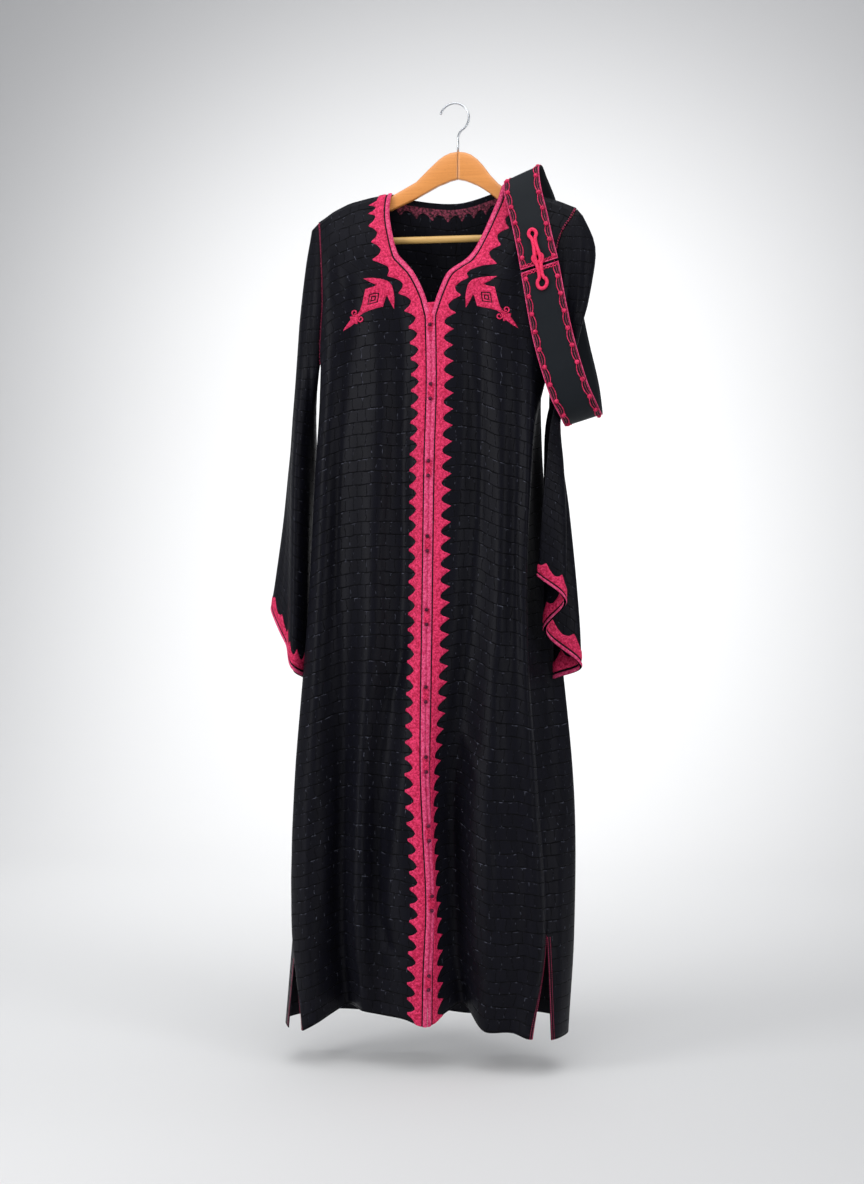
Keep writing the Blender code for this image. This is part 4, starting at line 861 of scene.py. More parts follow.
def sleeve(table, bends, drops, cuff, front, back, back_column, turn, underarm):
    """A sleeve: open rows round the armhole, then closed ones down to the cuff."""
    levels = [row[0] for row in table]
    lines = np.array([row[1:6] for row in table], float).reshape(len(table), -1)
    thick = np.array([row[6] for row in table], float)
    top = front[0, -1][2] - 1.0

    def height(q, t):
        """z at share q of the width and share t of the way from underarm to cuff."""
        end = cuff[0] + (cuff[1] - cuff[0]) * smooth(bends, drops, q)
        return underarm + (end - underarm) * t

    def middle(q, z):
        """x, y midway between the two layers."""
        return smooth(bends, smooth(levels, lines, z).reshape(5, 2), q)

    def point(q, z, side, pinch):
        """A point on the front layer, side -1, or the back one, drawn in by pinch at each bend."""
        along_x, along_y = middle(min(q + 0.01, 1), z) - middle(max(q - 0.01, 0), z)
        normal = np.array((-along_y, along_x)) / math.hypot(along_x, along_y)
        swell = float(smooth(levels, thick, z)) / 2 * math.sin(math.pi * q) ** 0.45
        for bend in bends[1:-1]:
            swell *= 1 - pinch * math.exp(-((q - bend) / 0.07) ** 2)
        x, y = middle(q, z) - normal * (swell * side * turn)
        if z > underarm:
            gap = armhole_point(back, back_column, z)[1] - armhole_point(front, -1, z)[1]
            y += side * gap / 2 * math.sin(math.pi * q / 2) ** 0.6
        return np.array((x, y, z))

    shares = fine_steps(fine_steps(bends, SLEEVE_CELLS), SLEEVE_CUTS)
    ring = [(q, 1) for q in shares[::-1]] + [(q, -1) for q in shares[1:]]
    tip = (armhole_point(front, -1, top) + armhole_point(back, back_column, top)) / 2
    grid = []
    for share in fine_steps(SLEEVE_HEAD, SLEEVE_CUTS)[:-1]:
        start = max(share, SLEEVE_HEAD[1])
        z = top + (underarm - top) * start
        line = []
        for q, side in ring:
            panel, column = (front, -1) if side < 0 else (back, back_column)
            off = armhole_point(panel, column, z) - point(1, z, side, 0)
            spot = point(q, z, side, 0) + off * q ** 3
            line.append(tip + (spot - tip) * share / start)
        grid.append(line)
    head = grid[-1]
    length = (2 * underarm - cuff[0] - cuff[1]) / 2
    cuff_rows = [1 - step / length for step in CUFF_STEPS[::-1]]
    rows = list(np.linspace(0, cuff_rows[0], SLEEVE_ROWS + 1))[:-1] + cuff_rows
    rows.insert(1, rows[1] / 2)
    first = [point(q, height(q, 0), side, 0) for q, side in ring]
    grid.append([a + (b - a) * 0.5 for a, b in zip(head, first)])
    closed = fine_steps(rows, SLEEVE_CUTS)
    for t in closed:
        pinch = PINCH * min(t * 4, 1)
        grid.append([point(q, height(q, t), side, pinch) for q, side in ring])
    grid = np.array(grid)
    grid[-len(closed):, -1] = grid[-len(closed):, 0]
    flat = [[(u * MM, -v * MM) for u in run_along(grid[-1])] for v in run_along(grid[:, 0])]
    return Cloth(grid, flat, turn, SLEEVE_CUTS, SLEEVE_CUTS)


plain_left, plain_back, plain_right = [cloth.grid for cloth in (left_cloth, back_cloth, right_cloth)]
left_sleeve = sleeve(SLEEVE_LEFT, SLEEVE_BENDS_LEFT, CUFF_DROPS_LEFT, CUFF_LEFT,
                     plain_left, plain_back, 0, -1, UNDERARM_LEFT)
right_sleeve = sleeve(SLEEVE_RIGHT, SLEEVE_BENDS_RIGHT, CUFF_DROPS_RIGHT, CUFF_RIGHT,
                      plain_right, plain_back, -1, 1, UNDERARM_RIGHT)
# Lengthways creases, as x, z paths seen from in front
for path, width, height in (
        (((-246, -230), (-258, -380), (-268, -560)), 5, 1.6),
        (((-236, -250), (-244, -420), (-256, -640)), 4, -1.5),
        (((-290, -560), (-304, -720), (-324, -860)), 6, 1.6),
        (((-284, -520), (-292, -700), (-306, -880)), 5, -1.4)):
    left_sleeve.crease(path, width, height)
for path, width, height in (
        (((212, -225), (206, -320), (196, -420)), 4, 2.2),
        (((220, -235), (217, -320), (204, -430)), 4, -2.2),
        (((200, -215), (192, -300), (184, -400)), 4, -2.0),
        (((190, -225), (184, -290), (178, -380)), 4, 1.6)):
    right_sleeve.crease(path, width, height)
for cloth, node in ((left_sleeve, "sleeve_left"), (right_sleeve, "sleeve_right")):
    cloth.make(node + "_cloth", black_jacquard, "black jacquard", node, SLEEVE_THICKNESS)

# Cuffs: a fine braid round the edge, then the toothed band, its points turned up the sleeve. Both are
# worked in pink silk straight on the sleeve.
CUFF_RAISED = 1.2
CUFF_COLUMNS = 2 * SLEEVE_CELLS * (len(SLEEVE_BENDS_LEFT) - 1)
# Rows up from the edge: the braid's upper and lower side, then the band's lower side, root and tips
CUFF_BRAID = (0.98, 0.02)
CUFF_BAND = 2.02
CUFF_ROOT = 3.0
CUFF_TIP = 3.95
for side, cloth in (("left", left_sleeve), ("right", right_sleeve)):
    last = (cloth.grid.shape[0] - 1) / SLEEVE_CUTS
    columns = np.linspace(0, CUFF_COLUMNS, CUFF_COLUMNS * CUFF_CUTS + 1)
    whole = np.full(len(columns), last)
    raised("cuff_braid_%s_silk" % side, (whole - CUFF_BRAID[0], whole - CUFF_BRAID[1]), columns, cloth,
           braid_silk, "cuff_braid_" + side, CUFF_RAISED, steps=5, across=True)
    edge = last - toothed(columns, CUFF_ROOT, CUFF_TIP, 2.0)
    raised("cuff_embroidery_%s_silk" % side, (edge, whole - CUFF_BAND), columns, cloth, pink_silk,
           "cuff_embroidery_" + side, CUFF_RAISED, steps=8, across=True)


# Armholes and slits: two rows of pink hand stitches, worked through both layers along the seam. Short
# ones lie crosswise between the rows on the front of each armhole.
ARMHOLE_TOP = 0.3
# The row where a front panel's last cell is measured, and the width of the back's outermost cells
ARMHOLE_ROW = 10.0
BACK_CELL = {"left": 28.0, "right": 16.0}
# Corners of a stitch and its middle, in shares of its length and its width, and of its width upward
STITCH_SHAPE = ((-0.5, 0, 0), (-0.28, 0.5, 0.3), (0.28, 0.5, 0.3), (0.5, 0, 0), (0.28, -0.5, 0.3),
                (-0.28, -0.5, 0.3), (0, 0, 0.75))


def stitches(name, spots, outs, finish, length=3.0, width=0.9):
    """Short thread stitches at spots, laid along the line that the spots make."""
    points, faces = [], []
    for i, (spot, out) in enumerate(zip(spots, outs)):
        ahead = unit(spots[min(i + 1, len(spots) - 1)] - spots[max(i - 1, 0)])
        beside = np.cross(ahead, out)
        base = len(points)
        points += [spot + ahead * a * length + beside * b * width + out * (c * width + 0.1)
                   for a, b, c in STITCH_SHAPE]
        faces += [(base + k, base + (k + 1) % 6, base + 6) for k in range(6)]
    surface(name, points, faces, finish)


def seam_spots(cloth, start, end, column, pitch=4.2):
    """Points and outward ways every few millimetres down a cloth, at a fixed column."""
    rows = np.linspace(start, end, 200)
    line = cloth.at(rows, column)
    run = run_along(line)
    rows = np.interp(np.arange(1.5, run[-1], pitch), run, rows)
    spots = cloth.at(rows, column, 0.1)
    return spots, cloth.at(rows, column, 1.1) - spots


def row_at(cloth, column, z):
    """The row at which a column of the cloth comes down to height z."""
    heights = cloth.grid[:, column, 2]
    return float(np.interp(-z, -heights, np.arange(len(heights)))) / cloth.cuts[0]


FRONT_COLUMNS = len(TRIM_STEPS) - 1 + PLAIN_COLUMNS
BACK_COLUMNS = sum(BACK_CELLS)
for side, cloth, underarm in (("left", left_cloth, UNDERARM_LEFT), ("right", right_cloth, UNDERARM_RIGHT)):
    end = row_at(cloth, -1, underarm)
    sides = [cloth.at(ARMHOLE_ROW, FRONT_COLUMNS), cloth.at(ARMHOLE_ROW, FRONT_COLUMNS - 1)]
    cell = float(np.linalg.norm(sides[1] - sides[0]))
    back_end = row_at(back_cloth, 0 if side == "left" else -1, underarm)
    for part, inset in (("outer", 1.6), ("inner", 6.4)):
        spots, outs = seam_spots(cloth, ARMHOLE_TOP, end, FRONT_COLUMNS - inset / cell)
        stitches("armhole_%s_front_%s" % (side, part), spots, outs, slit_silk)
        column = inset / BACK_CELL[side]
        if side == "right":
            column = BACK_COLUMNS - column
        spots, outs = seam_spots(back_cloth, ARMHOLE_TOP, back_end, column)
        stitches("armhole_%s_back_%s" % (side, part), spots, outs, slit_silk)
    spots, outs = seam_spots(cloth, ARMHOLE_TOP, end, FRONT_COLUMNS - 4.0 / cell, 5.6)
    stitches("armhole_%s_front_crosses" % side, spots, outs, slit_silk, 1.3, 2.2)

slit_start = row_at(left_cloth, -1, SIDE_LEFT[-1][2])
for name, cloth, column in (
        ("left_front", left_cloth, FRONT_COLUMNS), ("right_front", right_cloth, FRONT_COLUMNS),
        ("left_back", back_cloth, 0.0), ("right_back", back_cloth, BACK_COLUMNS)):
    for part, inset, width in (("edge", 0.06, 1.5), ("inner", 0.24, 0.8)):
        at = column - inset if column else inset * 0.7
        spots, outs = seam_spots(cloth, slit_start, len(SHARES) - 1, at, 3.4)
        stitches("slit_%s_%s" % (name, part), spots, outs, slit_silk, 2.6, width)


# Chest motifs: one on each side, a bud with an outlined diamond in it between two leaves, on a stalk
# with two curls and a leaf at its end, in the same pink silk worked over padding

# Its outline on one side: distance along the stalk's line from the bud's middle, and out from it
MOTIF_HALF = (
    (-50, 0), (-49, 6), (-44, 15), (-36, 25), (-24, 36), (-28, 22), (-32, 12), (-26, 14), (-14, 21),
    (-4, 15), (6, 9), (16, 4), (23, 2.5), (30, 3.5), (36, 9), (39, 4.5), (49, 3), (61, 0),
)
MOTIF_DIAMOND = ((-26, 0), (-19, 6), (-13, 10), (-7, 6), (2, 0), (-7, -6), (-13, -10), (-19, -6))
MOTIF_TILT = math.radians(-45)
MOTIF_RIGHT_AT = (67, -338)
MOTIF_LEFT_AT = (-138, -336)
MOTIF_RAISED = 1.3
MOTIF_SLOPE = 1.3
MOTIF_GRID = 1.9
DIAMOND_MIDDLE = -12
DIAMOND_SIZES = (1.0, 0.8, 0.5, 0.26)
DIAMOND_GRID = 1.6
ROW_SHARE = 0.87
CURL_RADIUS = 5.6
CURL_AT = 26
CURL_THREAD = 1.3
# Where a curl starts and how far it turns, in radians, and the share of its radius that it closes by
CURL_START = -1.7
CURL_TURN = 7.6
CURL_CLOSES = 0.68


def tree_of(cloth):
    """A cloth's grid in a form that can be searched for the point behind a place."""
    return BVHTree.FromPolygons(cloth.grid.reshape(-1, 3).tolist(), cloth.faces())


def on_cloth(tree, x, z, lift):
    """Point on a front panel straight behind x, z, moved out by lift."""
    spot, normal, _, _ = tree.ray_cast(Vector((x, -300, z)), Vector((0, 1, 0)))
    if normal.y > 0:
        normal = -normal
    return np.array(spot + normal * lift)


def ring_of(corners, step):
    """Points every step along a closed outline."""
    ring = []
    for a, b in zip(corners, corners[1:] + corners[:1]):
        a, b = np.array(a, float), np.array(b, float)
        count = max(1, int(np.linalg.norm(b - a) / step))
        ring += [a + (b - a) * k / count for k in range(count)]
    return ring


def gap_to(ring, spots):
    """Distance from each spot to a closed outline."""
    ring = np.array(ring)
    after = np.roll(ring, -1, axis=0)
    best = np.full(len(spots), 1e9)
    for a, b in zip(ring, after):
        t = np.clip((spots - a) @ (b - a) / max((b - a) @ (b - a), 1e-9), 0, 1)
        best = np.minimum(best, np.linalg.norm(spots - a - t[:, None] * (b - a), axis=1))
    return best


def inside(loop, spots):
    """Which spots lie inside a closed outline."""
    loop = np.array(loop)
    hit = np.zeros(len(spots), bool)
    for (ax, az), (bx, bz) in zip(loop, np.roll(loop, -1, axis=0)):
        crosses = (az > spots[:, 1]) != (bz > spots[:, 1])
        with np.errstate(divide="ignore", invalid="ignore"):
            hit ^= crosses & (spots[:, 0] < (bx - ax) * (spots[:, 1] - az) / (bz - az) + ax)
    return hit


def tilted(spots):
    """Points given along and out from the motif's line, turned to x and z."""
    c, s = math.cos(MOTIF_TILT), math.sin(MOTIF_TILT)
    return tuple((u * c - v * s, u * s + v * c) for u, v in spots)


corners = MOTIF_HALF + tuple((u, -v) for u, v in MOTIF_HALF[-2:0:-1])
outline = ring_of(tilted(corners), MOTIF_GRID)
diamonds = [ring_of(tilted((DIAMOND_MIDDLE + (u - DIAMOND_MIDDLE) * size, v * size)
                           for u, v in MOTIF_DIAMOND), DIAMOND_GRID) for size in DIAMOND_SIZES]
# Loose points in offset rows, and triangles between them and the outlines
spread = [(x, z) for x in np.arange(-44, 46, MOTIF_GRID) for z in np.arange(-46, 46, MOTIF_GRID * ROW_SHARE)]
spread = [(x + (MOTIF_GRID / 2 if round(z / MOTIF_GRID / ROW_SHARE) % 2 else 0), z) for x, z in spread]
loops = [outline] + diamonds
points_in, edges_in = [], []
for loop in loops:
    base = len(points_in)
    points_in += [Vector(p) for p in loop]
    edges_in += [(base + i, base + (i + 1) % len(loop)) for i in range(len(loop))]
near = np.min([gap_to(loop, np.array(spread)) for loop in loops], axis=0)
points_in += [Vector(p) for p, gap in zip(spread, near) if gap > MOTIF_GRID * 0.45]
flat_points, _, flat_faces, *_ = delaunay_2d_cdt(points_in, edges_in, [], 0, 0.001)
flat_points = np.array([tuple(p) for p in flat_points])

# Only the triangles that the silk covers: inside the outline, less two rings of the diamond
centres = np.array([flat_points[list(f)].mean(axis=0) for f in flat_faces])
kept = inside(outline, centres)
kept &= ~(inside(diamonds[0], centres) & ~inside(diamonds[1], centres))
kept &= ~(inside(diamonds[2], centres) & ~inside(diamonds[3], centres))
flat_faces = [f for f, keep in zip(flat_faces, kept) if keep]
padding = np.clip(np.min([gap_to(loop, flat_points) for loop in loops], axis=0) / MOTIF_SLOPE, 0, 1) ** 0.5
for side, cloth, mirror, at in (
        ("left", left_cloth, -1, MOTIF_LEFT_AT), ("right", right_cloth, 1, MOTIF_RIGHT_AT)):
    tree = tree_of(cloth)
    spots = [on_cloth(tree, at[0] + mirror * x, at[1] + z, 0.1 + MOTIF_RAISED * lift)
             for (x, z), lift in zip(flat_points, padding)]
    faces = [tuple(f) if mirror > 0 else tuple(f)[::-1] for f in flat_faces]
    surface("motif_%s_silk" % side, spots, faces, pink_silk, "motif_" + side)
    curls = []
    for way in (1, -1):
        t = np.linspace(0, 1, 30)
        angle = way * (CURL_START + CURL_TURN * t)
        reach = CURL_RADIUS * (1 - CURL_CLOSES * t)
        curl = tilted(zip(CURL_AT + reach * np.cos(angle), way * (2 + CURL_RADIUS) + reach * np.sin(angle)))
        curls.append([on_cloth(tree, at[0] + mirror * x, at[1] + z, 0.9) for x, z in curl])
    cord("motif_curls_" + side, curls, CURL_THREAD, pink_silk)

# Buttons: pairs of dark knots of silk cord, each pair on a patch of pink basket weave that bridges
# the opening. A knot is about 6.5 mm across. The first patch shows only one.
BUTTONS = (-369, -483, -609, -732, -852, -978, -1092, -1204, -1318, -1450)
KNOT_RADIUS = 3.3
KNOT_APART = 24.0
KNOT_OUT = 3.4
# Place of the first patch's only knot, as a share of KNOT_APART below the middle
ONE_KNOT = 0.17
TAB_SIZE = (10.5, 30.0)
TAB_GRID = (49, 17)
TAB_LIFT = 1.2
PLAITS = (4, 12)
knot_silk = silk_thread("dark knotted silk", "45102A", "16040C", "7C2548", 0.0013)


def knot(points, faces, middle, out, down, radius):
    """A ball of crossed cord: a sphere with raised strands wound round it three ways."""
    across = np.cross(down, out)
    base, rings, sides = len(points), 10, 16
    for i in range(rings + 1):
        a = math.pi * i / rings
        for k in range(sides):
            b = 2 * math.pi * k / sides
            way = np.array((math.sin(a) * math.cos(b), math.sin(a) * math.sin(b), math.cos(a)))
            strands = max(abs(math.sin(5 * way[axis] + 1)) for axis in range(3))
            reach = radius * (0.86 + 0.16 * strands)
            points.append(middle + reach * (way[0] * across + way[1] * down + way[2] * out * 0.85))
    faces += [(base + a, base + d, base + c, base + b) for a, b, c, d in quads(rings + 1, sides, True)]


for number, z in enumerate(BUTTONS, 1):
    share = V_SHARE + (z - V_BOTTOM) / (CENTRE[-1][2] - V_BOTTOM) * (1 - V_SHARE)
    row = float(np.interp(share, SHARES, range(len(SHARES))))
    middle, ahead = [(left_cloth.at(r, 0, TAB_LIFT) + right_cloth.at(r, 0, TAB_LIFT)) / 2
                     for r in (row, row + 0.3)]
    down = unit(ahead - middle)
    out = left_cloth.at(row, 0, 1) - left_cloth.at(row, 0) + right_cloth.at(row, 0, 1)
    out = out - right_cloth.at(row, 0)
    out = unit(out - down * (out @ down))
    across = np.cross(down, out)
    width, height = TAB_SIZE
    spots = []
    rows, columns = TAB_GRID
    for i in range(rows):
        for j in range(columns):
            x, y = j / (columns - 1) - 0.5, i / (rows - 1) - 0.5
            over = math.sin(x * math.pi * PLAITS[0]) * math.sin(y * math.pi * PLAITS[1])
            edge = 1 - max(abs(x), abs(y)) ** 8 * 256
            waist = 1 - 0.25 * (2 * abs(y)) ** 3
            spots.append(middle + across * x * width * waist + down * y * height
                         + out * (0.35 + 0.9 * edge + 0.5 * over * edge))
    faces = [(a, d, c, b) for a, b, c, d in quads(rows, columns)]
    surface("button_tab_%02d" % number, spots, faces, pink_silk, "button_%02d" % number)
    points, faces = [], []
    for k in (ONE_KNOT,) if number == 1 else (-0.5, 0.5):
        knot(points, faces, middle + down * k * KNOT_APART + out * KNOT_OUT, out, down, KNOT_RADIUS)
    surface("button_knots_%02d" % number, points, faces, knot_silk)

# Patch of pink embroidery that fills the bottom of the V, above the first knot: a thin padded sheet
# worked from one braid across to the other
PATCH_WIDEST = 15
PATCH_COLUMNS = 9
patch = []
patch_rows = np.linspace(V_ROW - 1.2, V_ROW + 0.05, 30)
for r in patch_rows:
    a, b = left_cloth.at(r, 0.05, 0.6), right_cloth.at(r, 0.05, 0.6)
    if np.linalg.norm(b - a) < PATCH_WIDEST:
        patch.append([a + (b - a) * t + np.array((0, -1.1 * math.sin(math.pi * t) + 0.8, 0))
                      for t in np.linspace(0, 1, PATCH_COLUMNS)])
spots = [p for line in patch for p in line]
surface("neck_patch", spots, quads(len(patch), PATCH_COLUMNS), pink_silk)


# Belt: the robe's own stiff sash of plain dark cloth with fine weft lines. It is closed in a loop and
# hung over the shoulder with its fastening in front.

# x, y, z of its left and of its right edge: from the fastening down the front, round below, up behind,
# and over the shoulder to the fastening again
BELT = (
    ((115.5, -57.2, -294), (176.5, -55.2, -275)), ((136, -60, -406), (198, -58, -384)),
    ((162, -56, -493), (222, -52, -468)), ((177, -40, -524), (237, -38, -503)),
    ((184, -3, -538), (245, -1, -519)), ((183, 32, -522), (243, 34, -500)),
    ((176, 47, -484), (237, 49, -461)), ((158, 56, -410), (220, 58, -388)),
    ((141, 57, -325), (203, 59, -306)), ((126, 52, -250), (186, 54, -234)),
    ((113, 43, -197), (173, 45, -181)), ((101, 32, -164), (164, 34, -150)),
    ((91, 17, -139.2), (152, 19, -121)), ((86, 0, -131.2), (146, 0, -107)),
    ((84, -18, -136.2), (142, -16, -112)), ((86, -33, -159), (146, -30, -146)),
    ((98, -46, -206), (158, -43, -196)), ((108, -53, -252), (167, -51, -236)),
    ((115, -57, -290), (176, -55, -271)),
)
BELT_ROWS = 34
BELT_CUTS = 6
BELT_COLUMNS = 12
BELT_THICK = 2.6
BELT_SINK = 0.6
# Distances are taken along both edges at once, so they are the belt's own times the root of 2
belt_edges = np.array(BELT, float).reshape(len(BELT), -1)
belt_runs = run_along(belt_edges)
stations = np.linspace(0, belt_runs[-1], BELT_ROWS * BELT_CUTS + 1)
shares_across = np.linspace(0, 1, BELT_COLUMNS + 1)
belt_grid, belt_flat = [], []
for d in stations:
    a, b = smooth(belt_runs, belt_edges, d).reshape(2, 3)
    belt_grid.append([a + (b - a) * t for t in shares_across])
    belt_flat.append([(t * np.linalg.norm(b - a) * MM, -d / math.sqrt(2) * MM) for t in shares_across])
belt_cloth = Cloth(belt_grid, belt_flat, -1, BELT_CUTS, BELT_COLUMNS)
swell = np.sin(np.linspace(0, math.pi, BELT_COLUMNS + 1)) ** 0.5 * 0.5
ripple = 0.25 * np.sin(stations / 31.0) + 0.2 * np.sin(stations / 12.7 + 1)
belt_cloth.grid = belt_cloth.grid + belt_cloth.out * (swell[None, :] + ripple[:, None] - BELT_SINK)[..., None]
belt_cloth.face_out()

SASH_COLOUR = "12161B"
sash, sash_tree, sash_shader = finish_named("dark ribbed sash cloth", SASH_COLOUR, 0.62)
sash_flat = add_node(sash_tree, "UVMap", uv_map="UVMap").outputs["UV"]
# Weft ribs are taken as 0.7 mm apart, and drawn at 1.6 mm so that they show from a step away. A wave
# repeats every pi / 10 / scale metres.
RIB_SCALE = 195.0
ribs = add_node(sash_tree, "TexWave", {"Vector": sash_flat, "Scale": RIB_SCALE, "Distortion": 0.8,
                                       "Detail": 1.0, "Detail Scale": 3.0}, bands_direction="Y")
sash_noise = add_node(sash_tree, "TexNoise", {"Vector": sash_flat, "Scale": 900.0, "Detail": 2.0})
rib_tone = add_node(sash_tree, "MapRange", {"Value": ribs.outputs["Fac"], "To Min": 0.75, "To Max": 1.25})
sash_mix = add_node(sash_tree, "VectorMath", {0: linear(SASH_COLOUR)[:3], "Scale": rib_tone.outputs[0]},
                    operation="SCALE")
sash_tree.links.new(sash_mix.outputs[0], sash_shader.inputs["Base Color"])
rib_bump = add_node(sash_tree, "Bump", {"Height": ribs.outputs["Fac"], "Strength": 0.35, "Distance": 0.0004})
fibre_bump = add_node(sash_tree, "Bump", {"Height": sash_noise.outputs["Fac"], "Strength": 0.15,
                                          "Distance": 0.0002, "Normal": rib_bump.outputs[0]})
sash_tree.links.new(fibre_bump.outputs[0], sash_shader.inputs["Normal"])
sash_shader.inputs["Specular IOR Level"].default_value = 0.15
sash_shader.inputs["Sheen Weight"].default_value = 0.03
sash_shader.inputs["Sheen Tint"].default_value = linear("8E97A6")
belt_cloth.make("belt_cloth", sash, "belt cloth", "belt", BELT_THICK)

# Embroidery along both edges of the belt and across its two ends: a fine double cord on the edge,
# rosettes 29 mm apart, a vine that arches from each to the next, and a thin loop inside each arch
BELT_WIDTH = 64.0
BELT_LENGTH = stations[-1] / math.sqrt(2)
VINE_PITCH = 29.0
ROSETTE_RADIUS = 3.9
ZIGZAG_IN = 4.4
ZIGZAG_HALF = 1.9


def on_belt(inset, run, lift):
    """Points on the belt: mm in from the left edge, mm along from the front end, mm out."""
    row = np.asarray(run) % BELT_LENGTH / BELT_LENGTH * BELT_ROWS
    return belt_cloth.at(row, np.asarray(inset) / BELT_WIDTH, lift)


run = np.linspace(0.5, BELT_LENGTH - 0.5, 800)
level = np.ones(len(run))
for side, start, inward, offset in (("left", 0.0, 1, 12.0), ("right", BELT_WIDTH, -1, 24.0)):
    arch = np.abs(np.sin(math.pi * (run - offset) / VINE_PITCH)) ** 0.8
    lines = {"edge": (0.9 * level, 0.8, braid_silk), "inner_edge": (2.7 * level, 0.45, slit_silk),
             "vine": (6.2 + 4.2 * arch, 0.85, pink_silk), "loops": (3.6 + 2.6 * arch, 0.42, slit_silk)}
    for part, (inset, radius, finish) in lines.items():
        line = on_belt(start + inward * inset, run, 0.4)
        cord("belt_%s_%s" % (part, side), [line], radius, finish, 5)
    points, faces = [], []
    for at in np.arange(offset, BELT_LENGTH - 4, VINE_PITCH):
        middle, above, beyond = on_belt(start + inward * 6.4, (at, at, at + 2), (0.8, 1.8, 0.8))
        knot(points, faces, middle, above - middle, unit(beyond - middle), ROSETTE_RADIUS)
    surface("belt_rosettes_" + side, points, faces, pink_silk)
inset = np.linspace(1, BELT_WIDTH - 1, 140)
for end, at, inward in (("front", 0.0, 1), ("back", BELT_LENGTH - 0.01, -1)):
    cord("belt_end_%s_braid" % end, [on_belt(inset, at + inward * 1.3, 0.5)], 1.0, braid_silk,
         5)
    wave = ZIGZAG_HALF * np.sin(inset / ZIGZAG_HALF)
    cord("belt_end_%s_zigzag" % end, [on_belt(inset, at + inward * (ZIGZAG_IN + wave), 0.5),
                                      on_belt(inset, at + inward * (ZIGZAG_IN - wave), 0.3)],
         0.8, pink_silk, 5)

# Fastening: two loops of thick pink cord, each with a ring at its far end. The upper one hooks
# through the lower one just above the belt's join.
FROG_RADIUS = 2.9
BELT_MIDDLE = 31.5
frog_silk = silk_thread("thick pink cord", "EE2F5C", "C81E4C", "F85C82", 0.0009, 0.3)


def frog(name, ring, radius, sides, heights, node):
    """A closed cord: a ring, then two sides given by distance along the belt and half the width."""
    toward = 1 if sides[-1][0] > ring else -1
    half = [(ring - toward * radius * 1.15 * math.cos(a), radius * math.sin(a))
            for a in np.linspace(0, 2.3, 12)]
    half += [tuple(smooth(range(len(sides)), sides, t)) for t in np.linspace(0, len(sides) - 1, 34)]
    whole = np.array(half + [(r, -w) for r, w in half[-2:0:-1]])
    lift = np.interp(whole[:, 0], *np.array(heights).T)
    line = on_belt(BELT_MIDDLE + whole[:, 1], whole[:, 0], lift)
    cord(name, [line], FROG_RADIUS, frog_silk, 10, node, True)


end = BELT_LENGTH
frog("frog_upper_cord", end - 52, 6.4,
     ((end - 46, 4.0), (end - 41, 2.4), (end - 30, 2.5), (end - 19, 3.7), (end - 11, 4.5), (end - 5, 3.2),
      (end - 2.5, 0)), ((end - 60, 2.6), (end - 30, 3.0), (end - 17, 6.4), (end - 8, 5.4), (end - 2, 3.4)),
     "frog_upper")
frog("frog_lower_cord", 27.0, 7.9,
     ((20, 4.4), (15, 2.7), (8, 2.5), (1, 3.0), (-5, 6.0), (-11, 8.0), (-15.5, 5.5), (-17, 0)),
     ((-17, 2.3), (-7, 2.6), (0, 3.6), (12, 2.8), (35, 2.6)), "frog_lower")


# Hanger: two flat arms of varnished beech, joined in the middle, a round bar of paler beech and a
# hook of bright steel wire. The arms have a rounded upper edge and a softened lower one.
HANGER_MIDDLE = 6.0
ARM_THICK = 11.0
ARM_SOFT = 2.2
ARM_EASE = 0.7
# Upper edge of each arm: distance from the middle, z, and the arm's height there
ARM_LEFT = ((0.4, -79, 46), (12, -80.5, 47), (22, -84.5, 47), (32, -91, 44), (50, -107.5, 37),
            (70, -127, 28), (111, -149, 24), (156, -157, 24), (180, -165, 27), (193, -169, 41),
            (195, -170, 68), (208, -175, 66), (216, -182, 48))
ARM_RIGHT = ((0.4, -79, 46), (12, -80.5, 47), (22, -84.5, 47), (32, -92, 44), (42, -103, 39),
             (54, -119.5, 31), (68, -134.6, 27), (77, -141.2, 25), (120, -154.5, 24),
             (163, -170, 24), (180, -178, 25), (191, -186, 24), (193, -188, 50), (199, -196, 42),
             (203, -209, 28))
BAR_Z = -224.0
BAR_RADIUS = 5.75
BAR_ENDS = (-187.0, 197.2)
HOOK_RADIUS = 24.0
HOOK_WIRE = 1.8
HOOK_SWEEP = (165, -60)
HOOK_FOOT = -79.5


def beech(name, colour, streak, coat):
    """Varnished beech: fine grain along the wood, short darker flecks, and a clear coat."""
    made, tree, shader = finish_named(name, colour, 0.42)
    place = add_node(tree, "NewGeometry").outputs["Position"]
    stretched = add_node(tree, "Mapping", {"Vector": place, "Scale": (14, 320, 320)})
    grain = add_node(tree, "TexNoise", {"Vector": stretched.outputs[0], "Scale": 1.0, "Detail": 4.0,
                                        "Distortion": 0.6})
    flecks_at = add_node(tree, "Mapping", {"Vector": place, "Scale": (160, 1100, 1100)})
    flecks = add_node(tree, "TexNoise", {"Vector": flecks_at.outputs[0], "Scale": 1.0, "Detail": 1.0})
    fleck = add_node(tree, "MapRange", {"Value": flecks.outputs["Fac"], "From Min": 0.62, "From Max": 0.74,
                                        "To Max": 0.35})
    wood = add_node(tree, "Mix", {0: grain.outputs["Fac"], 6: linear(colour), 7: linear(streak)},
                    data_type="RGBA")
    marked = add_node(tree, "Mix", {0: fleck.outputs[0], 6: wood.outputs[2], 7: linear("8A5327")},
                      data_type="RGBA")
    tree.links.new(marked.outputs[2], shader.inputs["Base Color"])
    bump = add_node(tree, "Bump", {"Height": grain.outputs["Fac"], "Strength": 0.1, "Distance": 0.0005})
    tree.links.new(bump.outputs[0], shader.inputs["Normal"])
    shader.inputs["Coat Weight"].default_value = coat
    shader.inputs["Coat Roughness"].default_value = 0.18
    return made


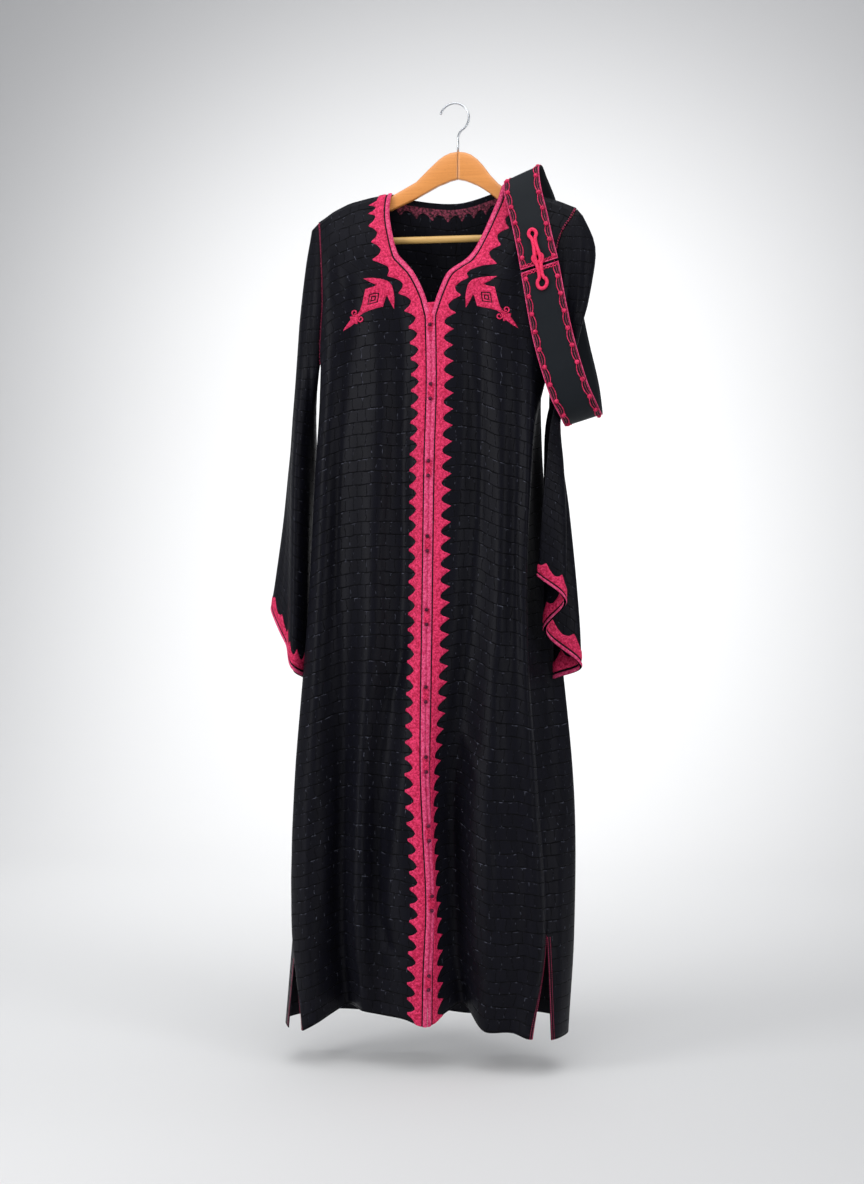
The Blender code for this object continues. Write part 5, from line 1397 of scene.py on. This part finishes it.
varnished_beech = beech("varnished beech", "E2994F", "C97C38", 0.4)
pale_beech = beech("pale beech", "D2AC68", "B98F4C", 0.15)
for side, table, way in (("left", ARM_LEFT, -1), ("right", ARM_RIGHT, 1)):
    half = ARM_THICK / 2
    points = []
    table = np.array(table, float)
    runs = np.unique(np.concatenate([np.linspace(a, b, 4) for a, b in zip(table[:, 0], table[1:, 0])]))
    for x in runs:
        top = float(np.interp(x, table[:, 0], table[:, 1]))
        bottom = top - float(np.interp(x, table[:, 0], table[:, 2]))
        ring = [(half * math.cos(a), top - half * 0.9 * (1 - math.sin(a)))
                for a in np.linspace(0, math.pi, 9)]
        ring += [(-half, bottom + ARM_SOFT), (-half + ARM_EASE, bottom + ARM_EASE),
                 (-half + ARM_SOFT, bottom), (half - ARM_SOFT, bottom),
                 (half - ARM_EASE, bottom + ARM_EASE), (half, bottom + ARM_SOFT)]
        points += [(HANGER_MIDDLE + way * x, y, z) for y, z in ring]
    faces = quads(len(runs), len(ring), True)
    faces.append(tuple(range(len(ring))))
    faces.append(tuple(range(len(points) - len(ring), len(points)))[::-1])
    if way < 0:
        faces = [face[::-1] for face in faces]
    arm = surface("hanger_arm_%s_wood" % side, points, faces, varnished_beech,
                  "hanger_arm_" + side)
    shape = bmesh.new()
    shape.from_mesh(arm.data)
    bmesh.ops.recalc_face_normals(shape, faces=shape.faces[:])
    shape.to_mesh(arm.data)
    shape.free()
    for polygon in arm.data.polygons:
        polygon.use_smooth = len(polygon.vertices) == 4

bar_line = [(x, 0, BAR_Z) for x in np.linspace(BAR_ENDS[0], BAR_ENDS[1], 12)]
cord("hanger_bar_wood", [bar_line], BAR_RADIUS, pale_beech, 28, "hanger_bar")

steel, steel_tree, steel_shader = finish_named("bright steel wire", "C9CCD0", 0.16)
steel_shader.inputs["Metallic"].default_value = 1.0
drawn = add_node(steel_tree, "TexNoise", {"Scale": 420.0, "Detail": 2.0})
steel_rough = add_node(steel_tree, "MapRange", {"Value": drawn.outputs["Fac"], "To Min": 0.1, "To Max": 0.26})
steel_tree.links.new(steel_rough.outputs[0], steel_shader.inputs["Roughness"])
middle_z = HOOK_WIRE - HOOK_RADIUS
hook_line = [(HOOK_RADIUS * math.cos(a), 0, middle_z + HOOK_RADIUS * math.sin(a))
             for a in np.radians(np.linspace(*HOOK_SWEEP, 46))]
x, _, z = hook_line[-1]
stem = np.array((hook_line[-1], (HANGER_MIDDLE + (x - HANGER_MIDDLE) * 0.4, 0, z - 5),
                 (HANGER_MIDDLE, 0, z - 12), (HANGER_MIDDLE, 0, z - 22)))
hook_line += [smooth((0, 1, 2, 3), stem, t) for t in np.linspace(0.12, 3, 22)]
hook_line.append((HANGER_MIDDLE, 0, HOOK_FOOT))
cord("hanger_hook_wire", [hook_line], HOOK_WIRE, steel, 14, "hanger_hook")
